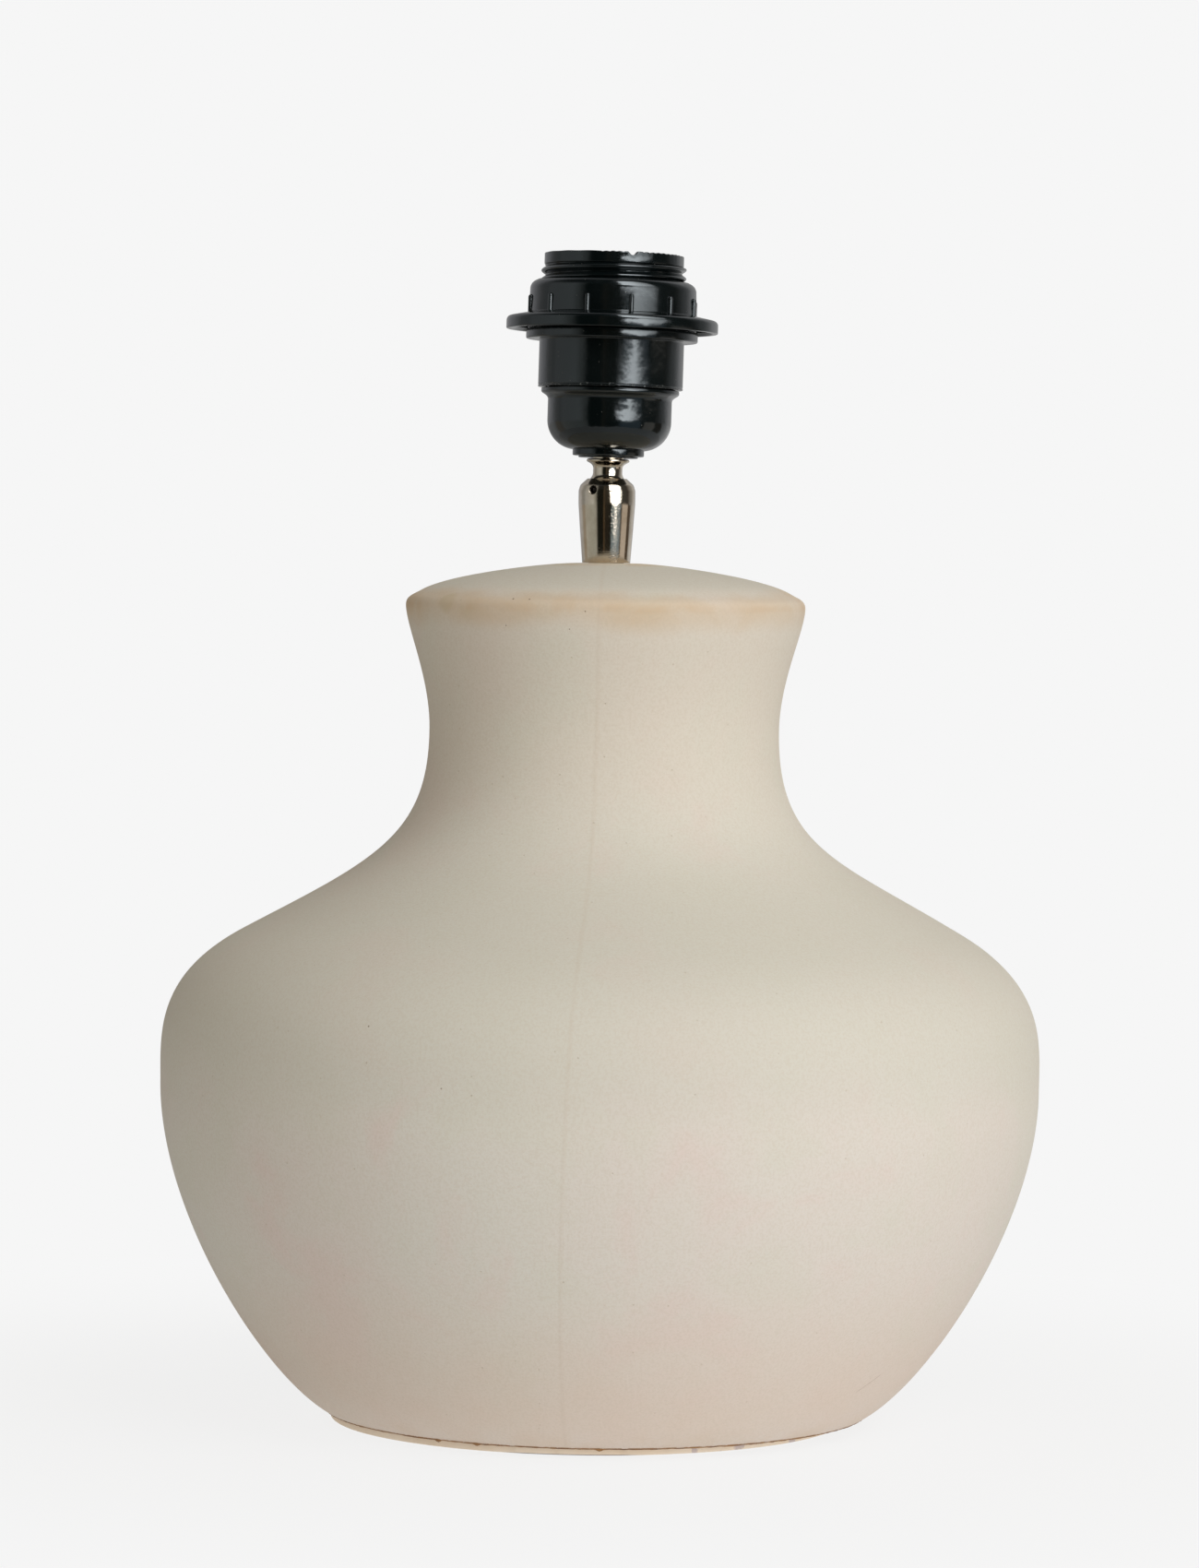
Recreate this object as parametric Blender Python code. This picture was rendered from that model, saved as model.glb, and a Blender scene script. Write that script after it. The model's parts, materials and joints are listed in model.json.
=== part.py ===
"""Table lamp base: a stoneware body on a foot ring, a turned ball swivel and a moulded lampholder.

Metres, +Z up. The origin lies on the table under the middle of the body, and -Y is the front.
"""

import math

import bmesh
import bpy
from mathutils import Matrix, Vector

# Fits that all pieces share
CLEARANCE = 0.0003
OVERRUN = 0.003

# Foot ring, glued under the body a little off its middle, and the felt pad in its recess
FOOT_INSET = 0.0042
FOOT_RING_WIDTH = 0.0230
FOOT_SHIFT = -0.0025
FOOT_LIFT = 0.0004
FOOT_HEIGHT = 0.0019
FOOT_EDGE_ROUNDING = 0.0005
FELT_INSET = 0.0053
FELT_THICKNESS = 0.0008

# Stoneware body: radii, and the rise from each level of the outline to the next
BODY_FOOT_RADIUS = 0.0752
BELLY_RADIUS = 0.1213
BELLY_RISE = 0.0899
SHOULDER_RADIUS = 0.0998
SHOULDER_RISE = 0.0419
NECK_RADIUS = 0.0484
NECK_RISE = 0.0561
RIM_RADIUS = 0.0552
RIM_RISE = 0.0334
DOME_EDGE_INSET = 0.0007
DOME_EDGE_RISE = 0.0033
DOME_RISE = 0.0092
DOME_SEAT_RADIUS = 0.0076
BODY_WALL = 0.0060
BODY_FLOOR_WIDTH = 0.0252
FOOT_SLOPE = math.radians(29.0)
SHOULDER_SLOPE = math.radians(150.5)
RIM_FLARE = math.radians(86.0)
DOME_EDGE_SLOPE = math.radians(142.0)

# How far each level's curve keeps its direction, as shares of the chord to the next level
FOOT_TO_BELLY_SHARES = (0.20, 0.35)
BELLY_TO_SHOULDER_SHARES = (0.27, 0.58)
SHOULDER_TO_NECK_SHARES = (0.535, 0.413)
NECK_TO_RIM_SHARES = (0.40, 0.19)
EDGE_TO_TOP_SHARES = (0.20, 0.42)

# Cord outlet, low at the back
CORD_HOLE_SHARE = 0.27
CORD_HOLE_RADIUS = 0.0060
CORD_BUSH_BORE_RADIUS = 0.0043
CORD_BUSH_FLANGE_RADIUS = 0.0083
CORD_BUSH_FLANGE_THICKNESS = 0.0014
CORD_BUSH_FLANGE_ROUNDING = 0.0006
CORD_BUSH_OUTER_SAG = 0.0004
CORD_BUSH_INNER_SAG = 0.0011

# Fixing under the dome
ROD_RADIUS = 0.00485
ROD_BORE_RADIUS = 0.0036
ROD_TAIL = 0.0070
RUBBER_WASHER_RADIUS = 0.0130
RUBBER_WASHER_THICKNESS = 0.0016
STEEL_WASHER_RADIUS = 0.0120
STEEL_WASHER_THICKNESS = 0.0012
NUT_FLATS = 0.0140
NUT_HEIGHT = 0.0050

# Swivel socket: radii from the foot up, and heights against the ball's centre
SOCKET_FOOT_RADIUS = 0.00663
SOCKET_WAIST_RADIUS = 0.00725
SOCKET_RADIUS = 0.00782
SOCKET_SHOULDER_RADIUS = 0.00735
SOCKET_MOUTH_RADIUS = 0.00535
SOCKET_WAIST_DROP = 0.0103
SOCKET_BELLY_DROP = 0.0022
SOCKET_CORNER_RISE = 0.0014
SOCKET_SHOULDER_RISE = 0.0030
SOCKET_MOUTH_RISE = 0.0048
BALL_RISE = 0.0182
THREAD_DEPTH = 0.0068
WEB_THICKNESS = 0.0026
CHAMBER_RADIUS = 0.0069

# Ball stud
BALL_RADIUS = 0.0067
STUD_BORE_RADIUS = 0.0030
STUD_BORE_FLARE = 0.0007
BALL_FLAT_DROP = 0.0057
NECK_STUD_RADIUS = 0.00403
NECK_STUD_RISE = 0.0065
NECK_STRAIGHT = 0.0006
NECK_BLEND = math.radians(45.0)
STUD_FLARE_SLOPE = math.radians(38.0)
STUD_FLARE_SHARES = (0.45, 0.30)
STUD_FLANGE_RADIUS = 0.0059
STUD_FLANGE_RISE = 0.0095
STUD_FLANGE_EDGE = 0.00035
STUD_FLANGE_CROWN = 0.0003
UNDERCUT_RADIUS = 0.0043
UNDERCUT_HEIGHT = 0.0008
SPIGOT_LENGTH = 0.0094

# Stop pin in the socket's wall, and the groove that it runs in
PIN_RADIUS = 0.00065
PIN_RISE = 0.00165
PIN_AZIMUTH = math.radians(-120.2)
PIN_RECESS = 0.0004
PIN_BITE = 0.0006
GROOVE_DEPTH = 0.0011
STOP_HALF_ANGLE = math.radians(8.0)
TILT_LIMIT = math.radians(11.0)

# Friction seat and its spring
SEAT_RADIUS = 0.0066
SEAT_BORE_RADIUS = 0.0040
SEAT_LIP_DROP = 0.0042
SEAT_HEIGHT = 0.0032
SPRING_THICKNESS = 0.0004
SPRING_CONE = 0.0004

# Lean of the lampholder as it stands in the photograph
LEAN = math.radians(1.36)
LEAN_AZIMUTH = math.radians(36.0)

# Lampholder cup
STEP_RADIUS = 0.0082
STEP_HEIGHT = 0.0005
BOSS_RADIUS = 0.00985
BOSS_HEIGHT = 0.0016
CUP_RADIUS = 0.01708
CUP_ROUNDING = 0.0080
CUP_STRAIGHT = 0.0056
CUP_BAND_INSET = 0.00093
CUP_FLARE_RISE = 0.0021
CUP_FLARE_SLOPE = math.radians(52.0)
CUP_FLARE_SHARES = (0.40, 0.30)
CUP_BAND_HEIGHT = 0.0010
CUP_WALL = 0.0020
SPIGOT_FIT = 0.00043
SPIGOT_RISE = 0.0048

# Brass thread bush in the cup
THREAD_BUSH_RADIUS = 0.0070
THREAD_BUSH_HEIGHT = 0.0060
THREAD_BUSH_FLOOR = 0.0009
THREAD_BUSH_COLLAR_WALL = 0.0020

# Lampholder sleeve
LAMP_BORE_RADIUS = 0.01345
LAMP_TUBE_WALL = 0.0016
SLEEVE_HOLLOW = 0.00288
SLEEVE_WALL = 0.0020
BARREL_HEIGHT = 0.0131
COLLAR_STAND = 0.00372
COLLAR_THICKNESS = 0.0027
COLLAR_ROUNDING = 0.0005
SKIRT_STAND = 0.00007
SKIRT_HEIGHT = 0.0178
LIP_INSET = 0.0008
LIP_HEIGHT = 0.0032
FUNNEL_DEPTH = 0.0042
RIM_WALL = 0.0016
RIM_INNER_HEIGHT = 0.0016
NOTCH_WIDTH = 0.0030
NOTCH_DEPTH = 0.0015
NOTCH_AZIMUTH = math.radians(-74.5)

# Shade ring
RING_HEIGHT = 0.0133
RING_WALL = 0.0029
RING_TOP_ROUNDING = 0.0026
RING_TOP_START = math.radians(75.0)
RING_BORE_CHAMFER = 0.0006
FLANGE_REACH = 0.00595
FLANGE_RISE = 0.0042
FLANGE_ROUNDING = 0.0036
FLANGE_THICKNESS = 0.0016
FLANGE_RIM_WALL = 0.0022
FLANGE_RIM_DROP = 0.00035
FLANGE_RIM_CHAMFER = 0.0008
RIB_COUNT = 12
RIB_WIDTH = 0.0011
RIB_STAND = 0.0005
RIB_HEIGHT = 0.0047
RIB_AZIMUTH = math.radians(-77.6)

# Contact block and what it carries
BLOCK_THICKNESS = 0.0034
BLOCK_BOSS_INSET = 0.00065
BLOCK_BOSS_HEIGHT = 0.0020
BLOCK_SLOT_WIDTH = 0.0060
BLOCK_SLOT_DEPTH = 0.0010
CONTACT_WIDTH = 0.0050
CONTACT_THICKNESS = 0.0005
CENTRE_CONTACT_RISE = 0.0022
CENTRE_CONTACT_REACH = 0.0025
SIDE_CONTACT_RISE = 0.0062
SIDE_CONTACT_INSET = 0.0010
SIDE_CONTACT_LEAN = 0.0005
CONTACT_SCREW_INSET = 0.0036
CONTACT_SCREW_RADIUS = 0.0014
CONTACT_SCREW_BITE = 0.0027
CONTACT_HEAD_RADIUS = 0.0024
CONTACT_HEAD_HEIGHT = 0.0011
SCREW_SLOT_WIDTH = 0.0007
SCREW_SLOT_DEPTH = 0.0006
TERMINAL_LENGTH = 0.0075
TERMINAL_WIDTH = 0.0060
TERMINAL_HEIGHT = 0.0080
TERMINAL_WIRE_RADIUS = 0.0015
TERMINAL_WIRE_DROP = 0.0055
TERMINAL_SCREW_RADIUS = 0.0014
TERMINAL_SCREW_STAND = 0.0012

# Facets
BODY_SIDES = 52
FOOT_SIDES = 44
HOLDER_SIDES = 36
SWIVEL_SIDES = 28
SMALL_SIDES = 16
SMOOTH_ANGLE = math.radians(32.0)

# The contacts and terminals come as a pair, one at each side of the holder's axis
TERMINAL_SIDES = (("left", -1), ("right", 1))

# Radii of the foot, all taken from the body's own foot edge
FOOT_RADIUS = BODY_FOOT_RADIUS - FOOT_INSET
FOOT_OPENING_RADIUS = FOOT_RADIUS - FOOT_RING_WIDTH
FELT_RADIUS = FOOT_RADIUS - FELT_INSET
BODY_OPENING_RADIUS = BODY_FOOT_RADIUS - BODY_FLOOR_WIDTH

# Radii of the lampholder, built out from the bore that takes the lamp
BARREL_RADIUS = LAMP_BORE_RADIUS + LAMP_TUBE_WALL + SLEEVE_HOLLOW + SLEEVE_WALL
SPIGOT_RADIUS = BARREL_RADIUS - SLEEVE_WALL - SPIGOT_FIT
CUP_BAND_RADIUS = BARREL_RADIUS - CUP_BAND_INSET
COLLAR_RADIUS = BARREL_RADIUS + COLLAR_STAND
SKIRT_RADIUS = BARREL_RADIUS + SKIRT_STAND
LIP_RADIUS = SKIRT_RADIUS - LIP_INSET
RING_HUB_RADIUS = SKIRT_RADIUS + CLEARANCE + RING_WALL
FLANGE_RADIUS = RING_HUB_RADIUS + FLANGE_REACH
BLOCK_BOSS_RADIUS = LAMP_BORE_RADIUS - BLOCK_BOSS_INSET
SIDE_CONTACT_RADIUS = BLOCK_BOSS_RADIUS - SIDE_CONTACT_INSET
CONTACT_SCREW_OFFSET = SIDE_CONTACT_RADIUS - CONTACT_SCREW_INSET

# Levels that several pieces share
FELT_TOP = FELT_THICKNESS
FOOT_TOP = FOOT_LIFT + FOOT_HEIGHT
BODY_BOTTOM = FOOT_TOP + CLEARANCE
BELLY_LEVEL = BODY_BOTTOM + BELLY_RISE
SHOULDER_LEVEL = BELLY_LEVEL + SHOULDER_RISE
NECK_LEVEL = SHOULDER_LEVEL + NECK_RISE
RIM_LEVEL = NECK_LEVEL + RIM_RISE
DOME_EDGE_LEVEL = RIM_LEVEL + DOME_EDGE_RISE
BODY_TOP = DOME_EDGE_LEVEL + DOME_RISE
SOCKET_FOOT = BODY_TOP + CLEARANCE
BALL_LEVEL = SOCKET_FOOT + BALL_RISE

# Levels above the ball's centre, along the lampholder's own axis
STUD_FLANGE_TOP = STUD_FLANGE_RISE + STUD_FLANGE_EDGE + STUD_FLANGE_CROWN
STEP_BOTTOM = STUD_FLANGE_TOP + CLEARANCE
BOSS_BOTTOM = STEP_BOTTOM + STEP_HEIGHT
BOSS_TOP = BOSS_BOTTOM + BOSS_HEIGHT
CUP_ARC_LEVEL = BOSS_TOP + CUP_ROUNDING
CUP_FLARE_LEVEL = CUP_ARC_LEVEL + CUP_STRAIGHT
CUP_BAND_LEVEL = CUP_FLARE_LEVEL + CUP_FLARE_RISE
CUP_BAND_TOP = CUP_BAND_LEVEL + CUP_BAND_HEIGHT
CUP_TOP = CUP_BAND_TOP + SPIGOT_RISE
SLEEVE_BOTTOM = CUP_BAND_TOP + CLEARANCE
COLLAR_BOTTOM = SLEEVE_BOTTOM + BARREL_HEIGHT
COLLAR_TOP = COLLAR_BOTTOM + COLLAR_THICKNESS
SKIRT_TOP = COLLAR_TOP + SKIRT_HEIGHT
SLEEVE_TOP = SKIRT_TOP + LIP_HEIGHT
RING_BOTTOM = COLLAR_TOP + CLEARANCE
BLOCK_BOTTOM = CUP_TOP + CLEARANCE
BLOCK_LEDGE = BLOCK_BOTTOM + BLOCK_THICKNESS
LAMP_TUBE_BOTTOM = BLOCK_LEDGE + CLEARANCE
BLOCK_TOP = BLOCK_LEDGE + BLOCK_BOSS_HEIGHT


def clear_scene():
    """Empty the scene of whatever it opened with."""
    for thing in list(bpy.data.objects):
        bpy.data.objects.remove(thing, do_unlink=True)


def linear(red, green, blue):
    """Turn an 8-bit screen colour into the linear colour that a shader takes."""
    def channel(value):
        share = value / 255
        if share <= 0.04045:
            return share / 12.92
        return ((share + 0.055) / 1.055) ** 2.4
    return (channel(red), channel(green), channel(blue), 1.0)


def material(name, colour, roughness, metallic=0.0):
    """Make one Principled material."""
    made = bpy.data.materials.new(name)
    made.use_nodes = True
    shader = made.node_tree.nodes["Principled BSDF"]
    shader.inputs["Base Color"].default_value = colour
    shader.inputs["Roughness"].default_value = roughness
    shader.inputs["Metallic"].default_value = metallic
    made.diffuse_color = colour
    return made


def make_materials():
    """List the finishes of the lamp by name."""
    return {
        "stoneware": material("stoneware", linear(206, 191, 166), 0.85),
        "foot": material("foot", linear(205, 186, 154), 0.8),
        "felt": material("felt", linear(88, 90, 98), 0.95),
        "rubber": material("rubber", linear(34, 33, 32), 0.7),
        "nickel": material("nickel", linear(186, 176, 160), 0.16, 1.0),
        "steel": material("steel", linear(160, 158, 154), 0.35, 1.0),
        "brass": material("brass", linear(190, 158, 92), 0.3, 1.0),
        "spring_steel": material("spring_steel", linear(120, 118, 115), 0.3, 1.0),
        "nylon": material("nylon", linear(214, 210, 198), 0.5),
        "black_moulding": material("black_moulding", linear(16, 17, 18), 0.18),
        "insulator": material("insulator", linear(226, 222, 212), 0.45),
    }


def add_object(name, mesh, finish, parent=None):
    """Put a mesh into the scene as one named piece."""
    thing = bpy.data.objects.new(name, mesh)
    bpy.context.scene.collection.objects.link(thing)
    mesh.materials.append(finish)
    mesh.shade_smooth()
    mesh.set_sharp_from_angle(angle=SMOOTH_ANGLE)
    thing.parent = parent
    return thing


def add_empty(name, location, turn, parent=None):
    """Put an axis or a place into the scene that pieces hang from."""
    empty = bpy.data.objects.new(name, None)
    bpy.context.scene.collection.objects.link(empty)
    empty.matrix_world = Matrix.Identity(4)
    empty.parent = parent
    empty.location = location
    empty.rotation_euler = turn
    return empty


def mesh_from(name, bm):
    """Close a bmesh into a mesh with its faces pointing out."""
    bmesh.ops.recalc_face_normals(bm, faces=bm.faces)
    mesh = bpy.data.meshes.new(name)
    bm.to_mesh(mesh)
    bm.free()
    return mesh


def turned_mesh(name, outline, sides, angle=math.tau):
    """Spin an outline of (radius, height) points about the upright axis into a solid.

    An outline that starts and ends on the axis makes a full solid, and any other is a closed loop.
    A part turn gets its two flat ends.
    """
    bm = bmesh.new()
    points = [bm.verts.new((radius, 0, height)) for radius, height in outline]
    edges = [bm.edges.new(pair) for pair in zip(points, points[1:])]
    full = outline[0][0] == 0 and outline[-1][0] == 0
    if not full:
        edges.append(bm.edges.new((points[-1], points[0])))
    whole = angle == math.tau
    ends = []
    if not whole:
        ends.append(bm.faces.new(points))
    bmesh.ops.spin(bm, geom=points + edges + ends, axis=(0, 0, 1), cent=(0, 0, 0),
                   steps=sides, angle=angle, use_duplicate=False)
    bmesh.ops.remove_doubles(bm, verts=bm.verts, dist=CLEARANCE / 100)
    return mesh_from(name, bm)


def prism_mesh(name, outline, low, high):
    """Extrude an outline of (x, y) points from one height to another."""
    bm = bmesh.new()
    base = bm.faces.new([bm.verts.new((x, y, low)) for x, y in outline])
    grown = bmesh.ops.extrude_face_region(bm, geom=[base])
    moved = [part for part in grown["geom"] if isinstance(part, bmesh.types.BMVert)]
    bmesh.ops.translate(bm, verts=moved, vec=(0, 0, high - low))
    return mesh_from(name, bm)


def polygon(radius, sides, turn=0.0):
    """List the corners of a regular polygon."""
    steps = [turn + math.tau * step / sides for step in range(sides)]
    return [(radius * math.cos(angle), radius * math.sin(angle)) for angle in steps]


def box_outline(length, width):
    """List the corners of a rectangle about the middle."""
    return [(length / 2, -width / 2), (length / 2, width / 2),
            (-length / 2, width / 2), (-length / 2, -width / 2)]


def arc(centre, radius, start, end, steps):
    """List points along a round stretch of an outline, its angles counted up from the outward level."""
    points = []
    for step in range(steps + 1):
        angle = start + (end - start) * step / steps
        points.append((centre[0] + radius * math.cos(angle), centre[1] + radius * math.sin(angle)))
    return points


def sweep(start, start_angle, end, end_angle, shares, steps):
    """List points along a smooth curve that leaves and arrives in the given directions."""
    a = Vector(start)
    d = Vector(end)
    chord = (d - a).length
    b = a + Vector((math.cos(start_angle), math.sin(start_angle))) * chord * shares[0]
    c = d - Vector((math.cos(end_angle), math.sin(end_angle))) * chord * shares[1]
    points = []
    for step in range(steps + 1):
        t = step / steps
        point = a * (1 - t) ** 3 + b * 3 * t * (1 - t) ** 2 + c * 3 * t * t * (1 - t) + d * t ** 3
        points.append((point.x, point.y))
    return points


def offset_inwards(points, distance):
    """Move each point of an upward outline towards the hollow, square to its run."""
    moved = []
    for index, point in enumerate(points):
        before = Vector(points[max(index - 1, 0)])
        after = Vector(points[min(index + 1, len(points) - 1)])
        along = (after - before).normalized()
        moved.append((point[0] - along.y * distance, point[1] + along.x * distance))
    return moved


def hide_cutter(cutter):
    """Keep a cutting shape out of the model."""
    cutter.hide_render = True
    cutter.display_type = "WIRE"
    return cutter


def boolean(target, tool, operation):
    """Cut a tool from a piece, or join it on."""
    hide_cutter(tool)
    modifier = target.modifiers.new(f"{operation.lower()} {tool.name}", "BOOLEAN")
    modifier.operation = operation
    modifier.solver = "EXACT"
    modifier.object = tool


def add_group(name, meshes, finish, parent=None):
    """Gather separate small solids into one named piece."""
    bm = bmesh.new()
    for mesh, place in meshes:
        start = len(bm.verts)
        bm.from_mesh(mesh)
        bm.verts.ensure_lookup_table()
        bmesh.ops.transform(bm, matrix=place, verts=bm.verts[start:])
    return add_object(name, mesh_from(name, bm), finish, parent)


def tube_outline(inner, outer, low, high):
    """Trace the section of a plain ring or tube."""
    return [(inner, high), (outer, high), (outer, low), (inner, low)]


def body_outline():
    """Trace the outside of the stoneware from the foot edge up to the seat of the swivel."""
    foot = (BODY_FOOT_RADIUS, BODY_BOTTOM)
    belly = (BELLY_RADIUS, BELLY_LEVEL)
    shoulder = (SHOULDER_RADIUS, SHOULDER_LEVEL)
    neck = (NECK_RADIUS, NECK_LEVEL)
    rim = (RIM_RADIUS, RIM_LEVEL)
    edge = (RIM_RADIUS - DOME_EDGE_INSET, DOME_EDGE_LEVEL)
    seat = (DOME_SEAT_RADIUS, BODY_TOP)
    up = math.pi / 2
    inwards = math.pi
    points = sweep(foot, FOOT_SLOPE, belly, up, FOOT_TO_BELLY_SHARES, 7)
    points += sweep(belly, up, shoulder, SHOULDER_SLOPE, BELLY_TO_SHOULDER_SHARES, 4)[1:]
    points += sweep(shoulder, SHOULDER_SLOPE, neck, up, SHOULDER_TO_NECK_SHARES, 6)[1:]
    points += sweep(neck, up, rim, RIM_FLARE, NECK_TO_RIM_SHARES, 3)[1:]
    points += [edge]
    points += sweep(edge, DOME_EDGE_SLOPE, seat, inwards, EDGE_TO_TOP_SHARES, 4)[1:]
    return points


def body_lining(outside):
    """Trace the hollow of the stoneware with every second point of the outside."""
    floor = BODY_BOTTOM + BODY_WALL
    ceiling = BODY_TOP - BODY_WALL
    wall = offset_inwards(outside, BODY_WALL)[::2]
    clear = [point for point in wall if floor < point[1] < ceiling and point[0] > RUBBER_WASHER_RADIUS]
    return clear, floor, ceiling


def cord_hole_place():
    """Find where the cord hole's axis meets the outside, and how far it points down."""
    outside = body_outline()
    reach = CORD_HOLE_SHARE * BELLY_RISE + BODY_BOTTOM
    spans = [span for span in zip(outside, outside[1:]) if span[0][1] <= reach <= span[1][1]]
    low, high = spans[0]
    share = (reach - low[1]) / (high[1] - low[1])
    radius = low[0] + (high[0] - low[0]) * share
    fall = math.atan2(high[0] - low[0], high[1] - low[1])
    return radius, reach, fall


def make_cord_axis():
    """Set the cord hole's axis square to the wall at the back, with its own +Z pointing out."""
    radius, height, fall = cord_hole_place()
    return add_empty("cord_hole_axis", (0, radius, height), (-math.pi / 2 - fall, 0, 0))


def make_ceramic_body(finish, cord_axis):
    """Turn the slip-cast body with its open foot, the hole at its top and the one for the cord."""
    outside = body_outline()
    lining, floor, ceiling = body_lining(outside)
    hole = ROD_RADIUS + CLEARANCE
    loop = [(hole, BODY_TOP)] + outside[::-1]
    loop += [(BODY_OPENING_RADIUS, BODY_BOTTOM), (BODY_OPENING_RADIUS, floor)]
    loop += [(lining[0][0], floor)] + lining
    loop += [(RUBBER_WASHER_RADIUS + OVERRUN, ceiling), (hole, ceiling)]
    body = add_object("ceramic_body", turned_mesh("ceramic_body", loop, BODY_SIDES), finish)
    reach = BODY_WALL + OVERRUN
    drill = add_object("cord_drill", prism_mesh("cord_drill", polygon(CORD_HOLE_RADIUS, SMALL_SIDES),
                                                -reach, OVERRUN), finish, cord_axis)
    boolean(body, drill, "DIFFERENCE")
    return body


def make_cord_bush(finish, cord_axis):
    """Turn the rubber bush, whose two flanges grip the wall from both sides."""
    sleeve = CORD_HOLE_RADIUS - CLEARANCE
    outer_low = CORD_BUSH_OUTER_SAG
    outer_high = outer_low + CORD_BUSH_FLANGE_THICKNESS
    inner_high = -BODY_WALL - CORD_BUSH_INNER_SAG
    inner_low = inner_high - CORD_BUSH_FLANGE_THICKNESS
    edge = CORD_BUSH_FLANGE_RADIUS - CORD_BUSH_FLANGE_ROUNDING
    loop = [(CORD_BUSH_BORE_RADIUS, outer_high), (edge, outer_high),
            (CORD_BUSH_FLANGE_RADIUS, outer_high - CORD_BUSH_FLANGE_ROUNDING),
            (CORD_BUSH_FLANGE_RADIUS, outer_low), (sleeve, outer_low), (sleeve, inner_high),
            (edge, inner_high), (edge, inner_low), (CORD_BUSH_BORE_RADIUS, inner_low)]
    return add_object("cord_bush", turned_mesh("cord_bush", loop, SMALL_SIDES), finish, cord_axis)


def make_foot(foot_finish, felt_finish):
    """Turn the foot ring, and the felt pad that lies in its recess."""
    recess = FELT_RADIUS + CLEARANCE
    ceiling = FELT_TOP + CLEARANCE
    loop = [(FOOT_OPENING_RADIUS, FOOT_TOP), (FOOT_RADIUS - FOOT_EDGE_ROUNDING, FOOT_TOP),
            (FOOT_RADIUS, FOOT_TOP - FOOT_EDGE_ROUNDING), (FOOT_RADIUS, FOOT_LIFT + FOOT_EDGE_ROUNDING),
            (FOOT_RADIUS - FOOT_EDGE_ROUNDING, FOOT_LIFT), (recess, FOOT_LIFT),
            (recess, ceiling), (FOOT_OPENING_RADIUS, ceiling)]
    ring = add_object("foot_ring", turned_mesh("foot_ring", loop, FOOT_SIDES), foot_finish)
    disc = [(0, FELT_TOP), (FELT_RADIUS, FELT_TOP), (FELT_RADIUS, 0), (0, 0)]
    pad = add_object("felt_pad", turned_mesh("felt_pad", disc, FOOT_SIDES), felt_finish)
    for piece in (ring, pad):
        piece.location.x = FOOT_SHIFT


def make_fixing(finishes):
    """Stack the rod, washers and nut that tie the swivel to the body from inside."""
    ceiling = BODY_TOP - BODY_WALL
    rubber_top = ceiling - CLEARANCE
    rubber_bottom = rubber_top - RUBBER_WASHER_THICKNESS
    steel_top = rubber_bottom - CLEARANCE
    steel_bottom = steel_top - STEEL_WASHER_THICKNESS
    nut_top = steel_bottom - CLEARANCE
    nut_bottom = nut_top - NUT_HEIGHT
    bore = ROD_RADIUS + CLEARANCE
    rod_top = SOCKET_FOOT + THREAD_DEPTH - CLEARANCE
    rings = (("rubber_washer", "rubber", RUBBER_WASHER_RADIUS, rubber_bottom, rubber_top),
             ("steel_washer", "steel", STEEL_WASHER_RADIUS, steel_bottom, steel_top))
    for name, finish, radius, low, high in rings:
        mesh = turned_mesh(name, tube_outline(bore, radius, low, high), SMALL_SIDES)
        add_object(name, mesh, finishes[finish])
    rod = tube_outline(ROD_BORE_RADIUS, ROD_RADIUS, nut_bottom - ROD_TAIL, rod_top)
    add_object("hollow_rod", turned_mesh("hollow_rod", rod, SMALL_SIDES), finishes["steel"])
    corner = NUT_FLATS / 2 / math.cos(math.pi / 6)
    nut = add_object("lock_nut", prism_mesh("lock_nut", polygon(corner, 6), nut_bottom, nut_top),
                     finishes["steel"])
    tap = prism_mesh("nut_tap", polygon(bore, SMALL_SIDES), nut_bottom - OVERRUN, nut_top + OVERRUN)
    boolean(nut, add_object("nut_tap", tap, finishes["steel"]), "DIFFERENCE")


def make_socket(finish, ball_place):
    """Turn the swivel's tapered socket, rolled in over the ball at its mouth."""
    foot = -BALL_RISE
    seat_radius = BALL_RADIUS + CLEARANCE
    seat_end = math.acos(SOCKET_MOUTH_RADIUS / seat_radius)
    chamber_floor = foot + THREAD_DEPTH + WEB_THICKNESS
    thread = ROD_RADIUS + CLEARANCE
    outside = [(SOCKET_MOUTH_RADIUS, SOCKET_MOUTH_RISE), (SOCKET_SHOULDER_RADIUS, SOCKET_SHOULDER_RISE),
               (SOCKET_RADIUS, SOCKET_CORNER_RISE), (SOCKET_RADIUS, -SOCKET_BELLY_DROP),
               (SOCKET_WAIST_RADIUS, -SOCKET_WAIST_DROP), (SOCKET_FOOT_RADIUS, foot)]
    inside = [(thread, foot), (thread, foot + THREAD_DEPTH), (ROD_BORE_RADIUS, foot + THREAD_DEPTH),
              (ROD_BORE_RADIUS, chamber_floor), (CHAMBER_RADIUS, chamber_floor)]
    seat_start = -math.acos(CHAMBER_RADIUS / seat_radius)
    inside += arc((0, 0), seat_radius, seat_start, seat_end, 5)
    socket = add_object("swivel_socket", turned_mesh("swivel_socket", outside + inside, SWIVEL_SIDES),
                        finish, ball_place)
    reach = SOCKET_RADIUS + OVERRUN
    pin_hole = prism_mesh("pin_hole", polygon(PIN_RADIUS + CLEARANCE, SMALL_SIDES // 2),
                          BALL_RADIUS / 2, reach)
    hole = add_object("pin_hole", pin_hole, finish, ball_place)
    hole.location.z = PIN_RISE
    hole.rotation_euler = (0, math.pi / 2, PIN_AZIMUTH)
    boolean(socket, hole, "DIFFERENCE")


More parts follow.
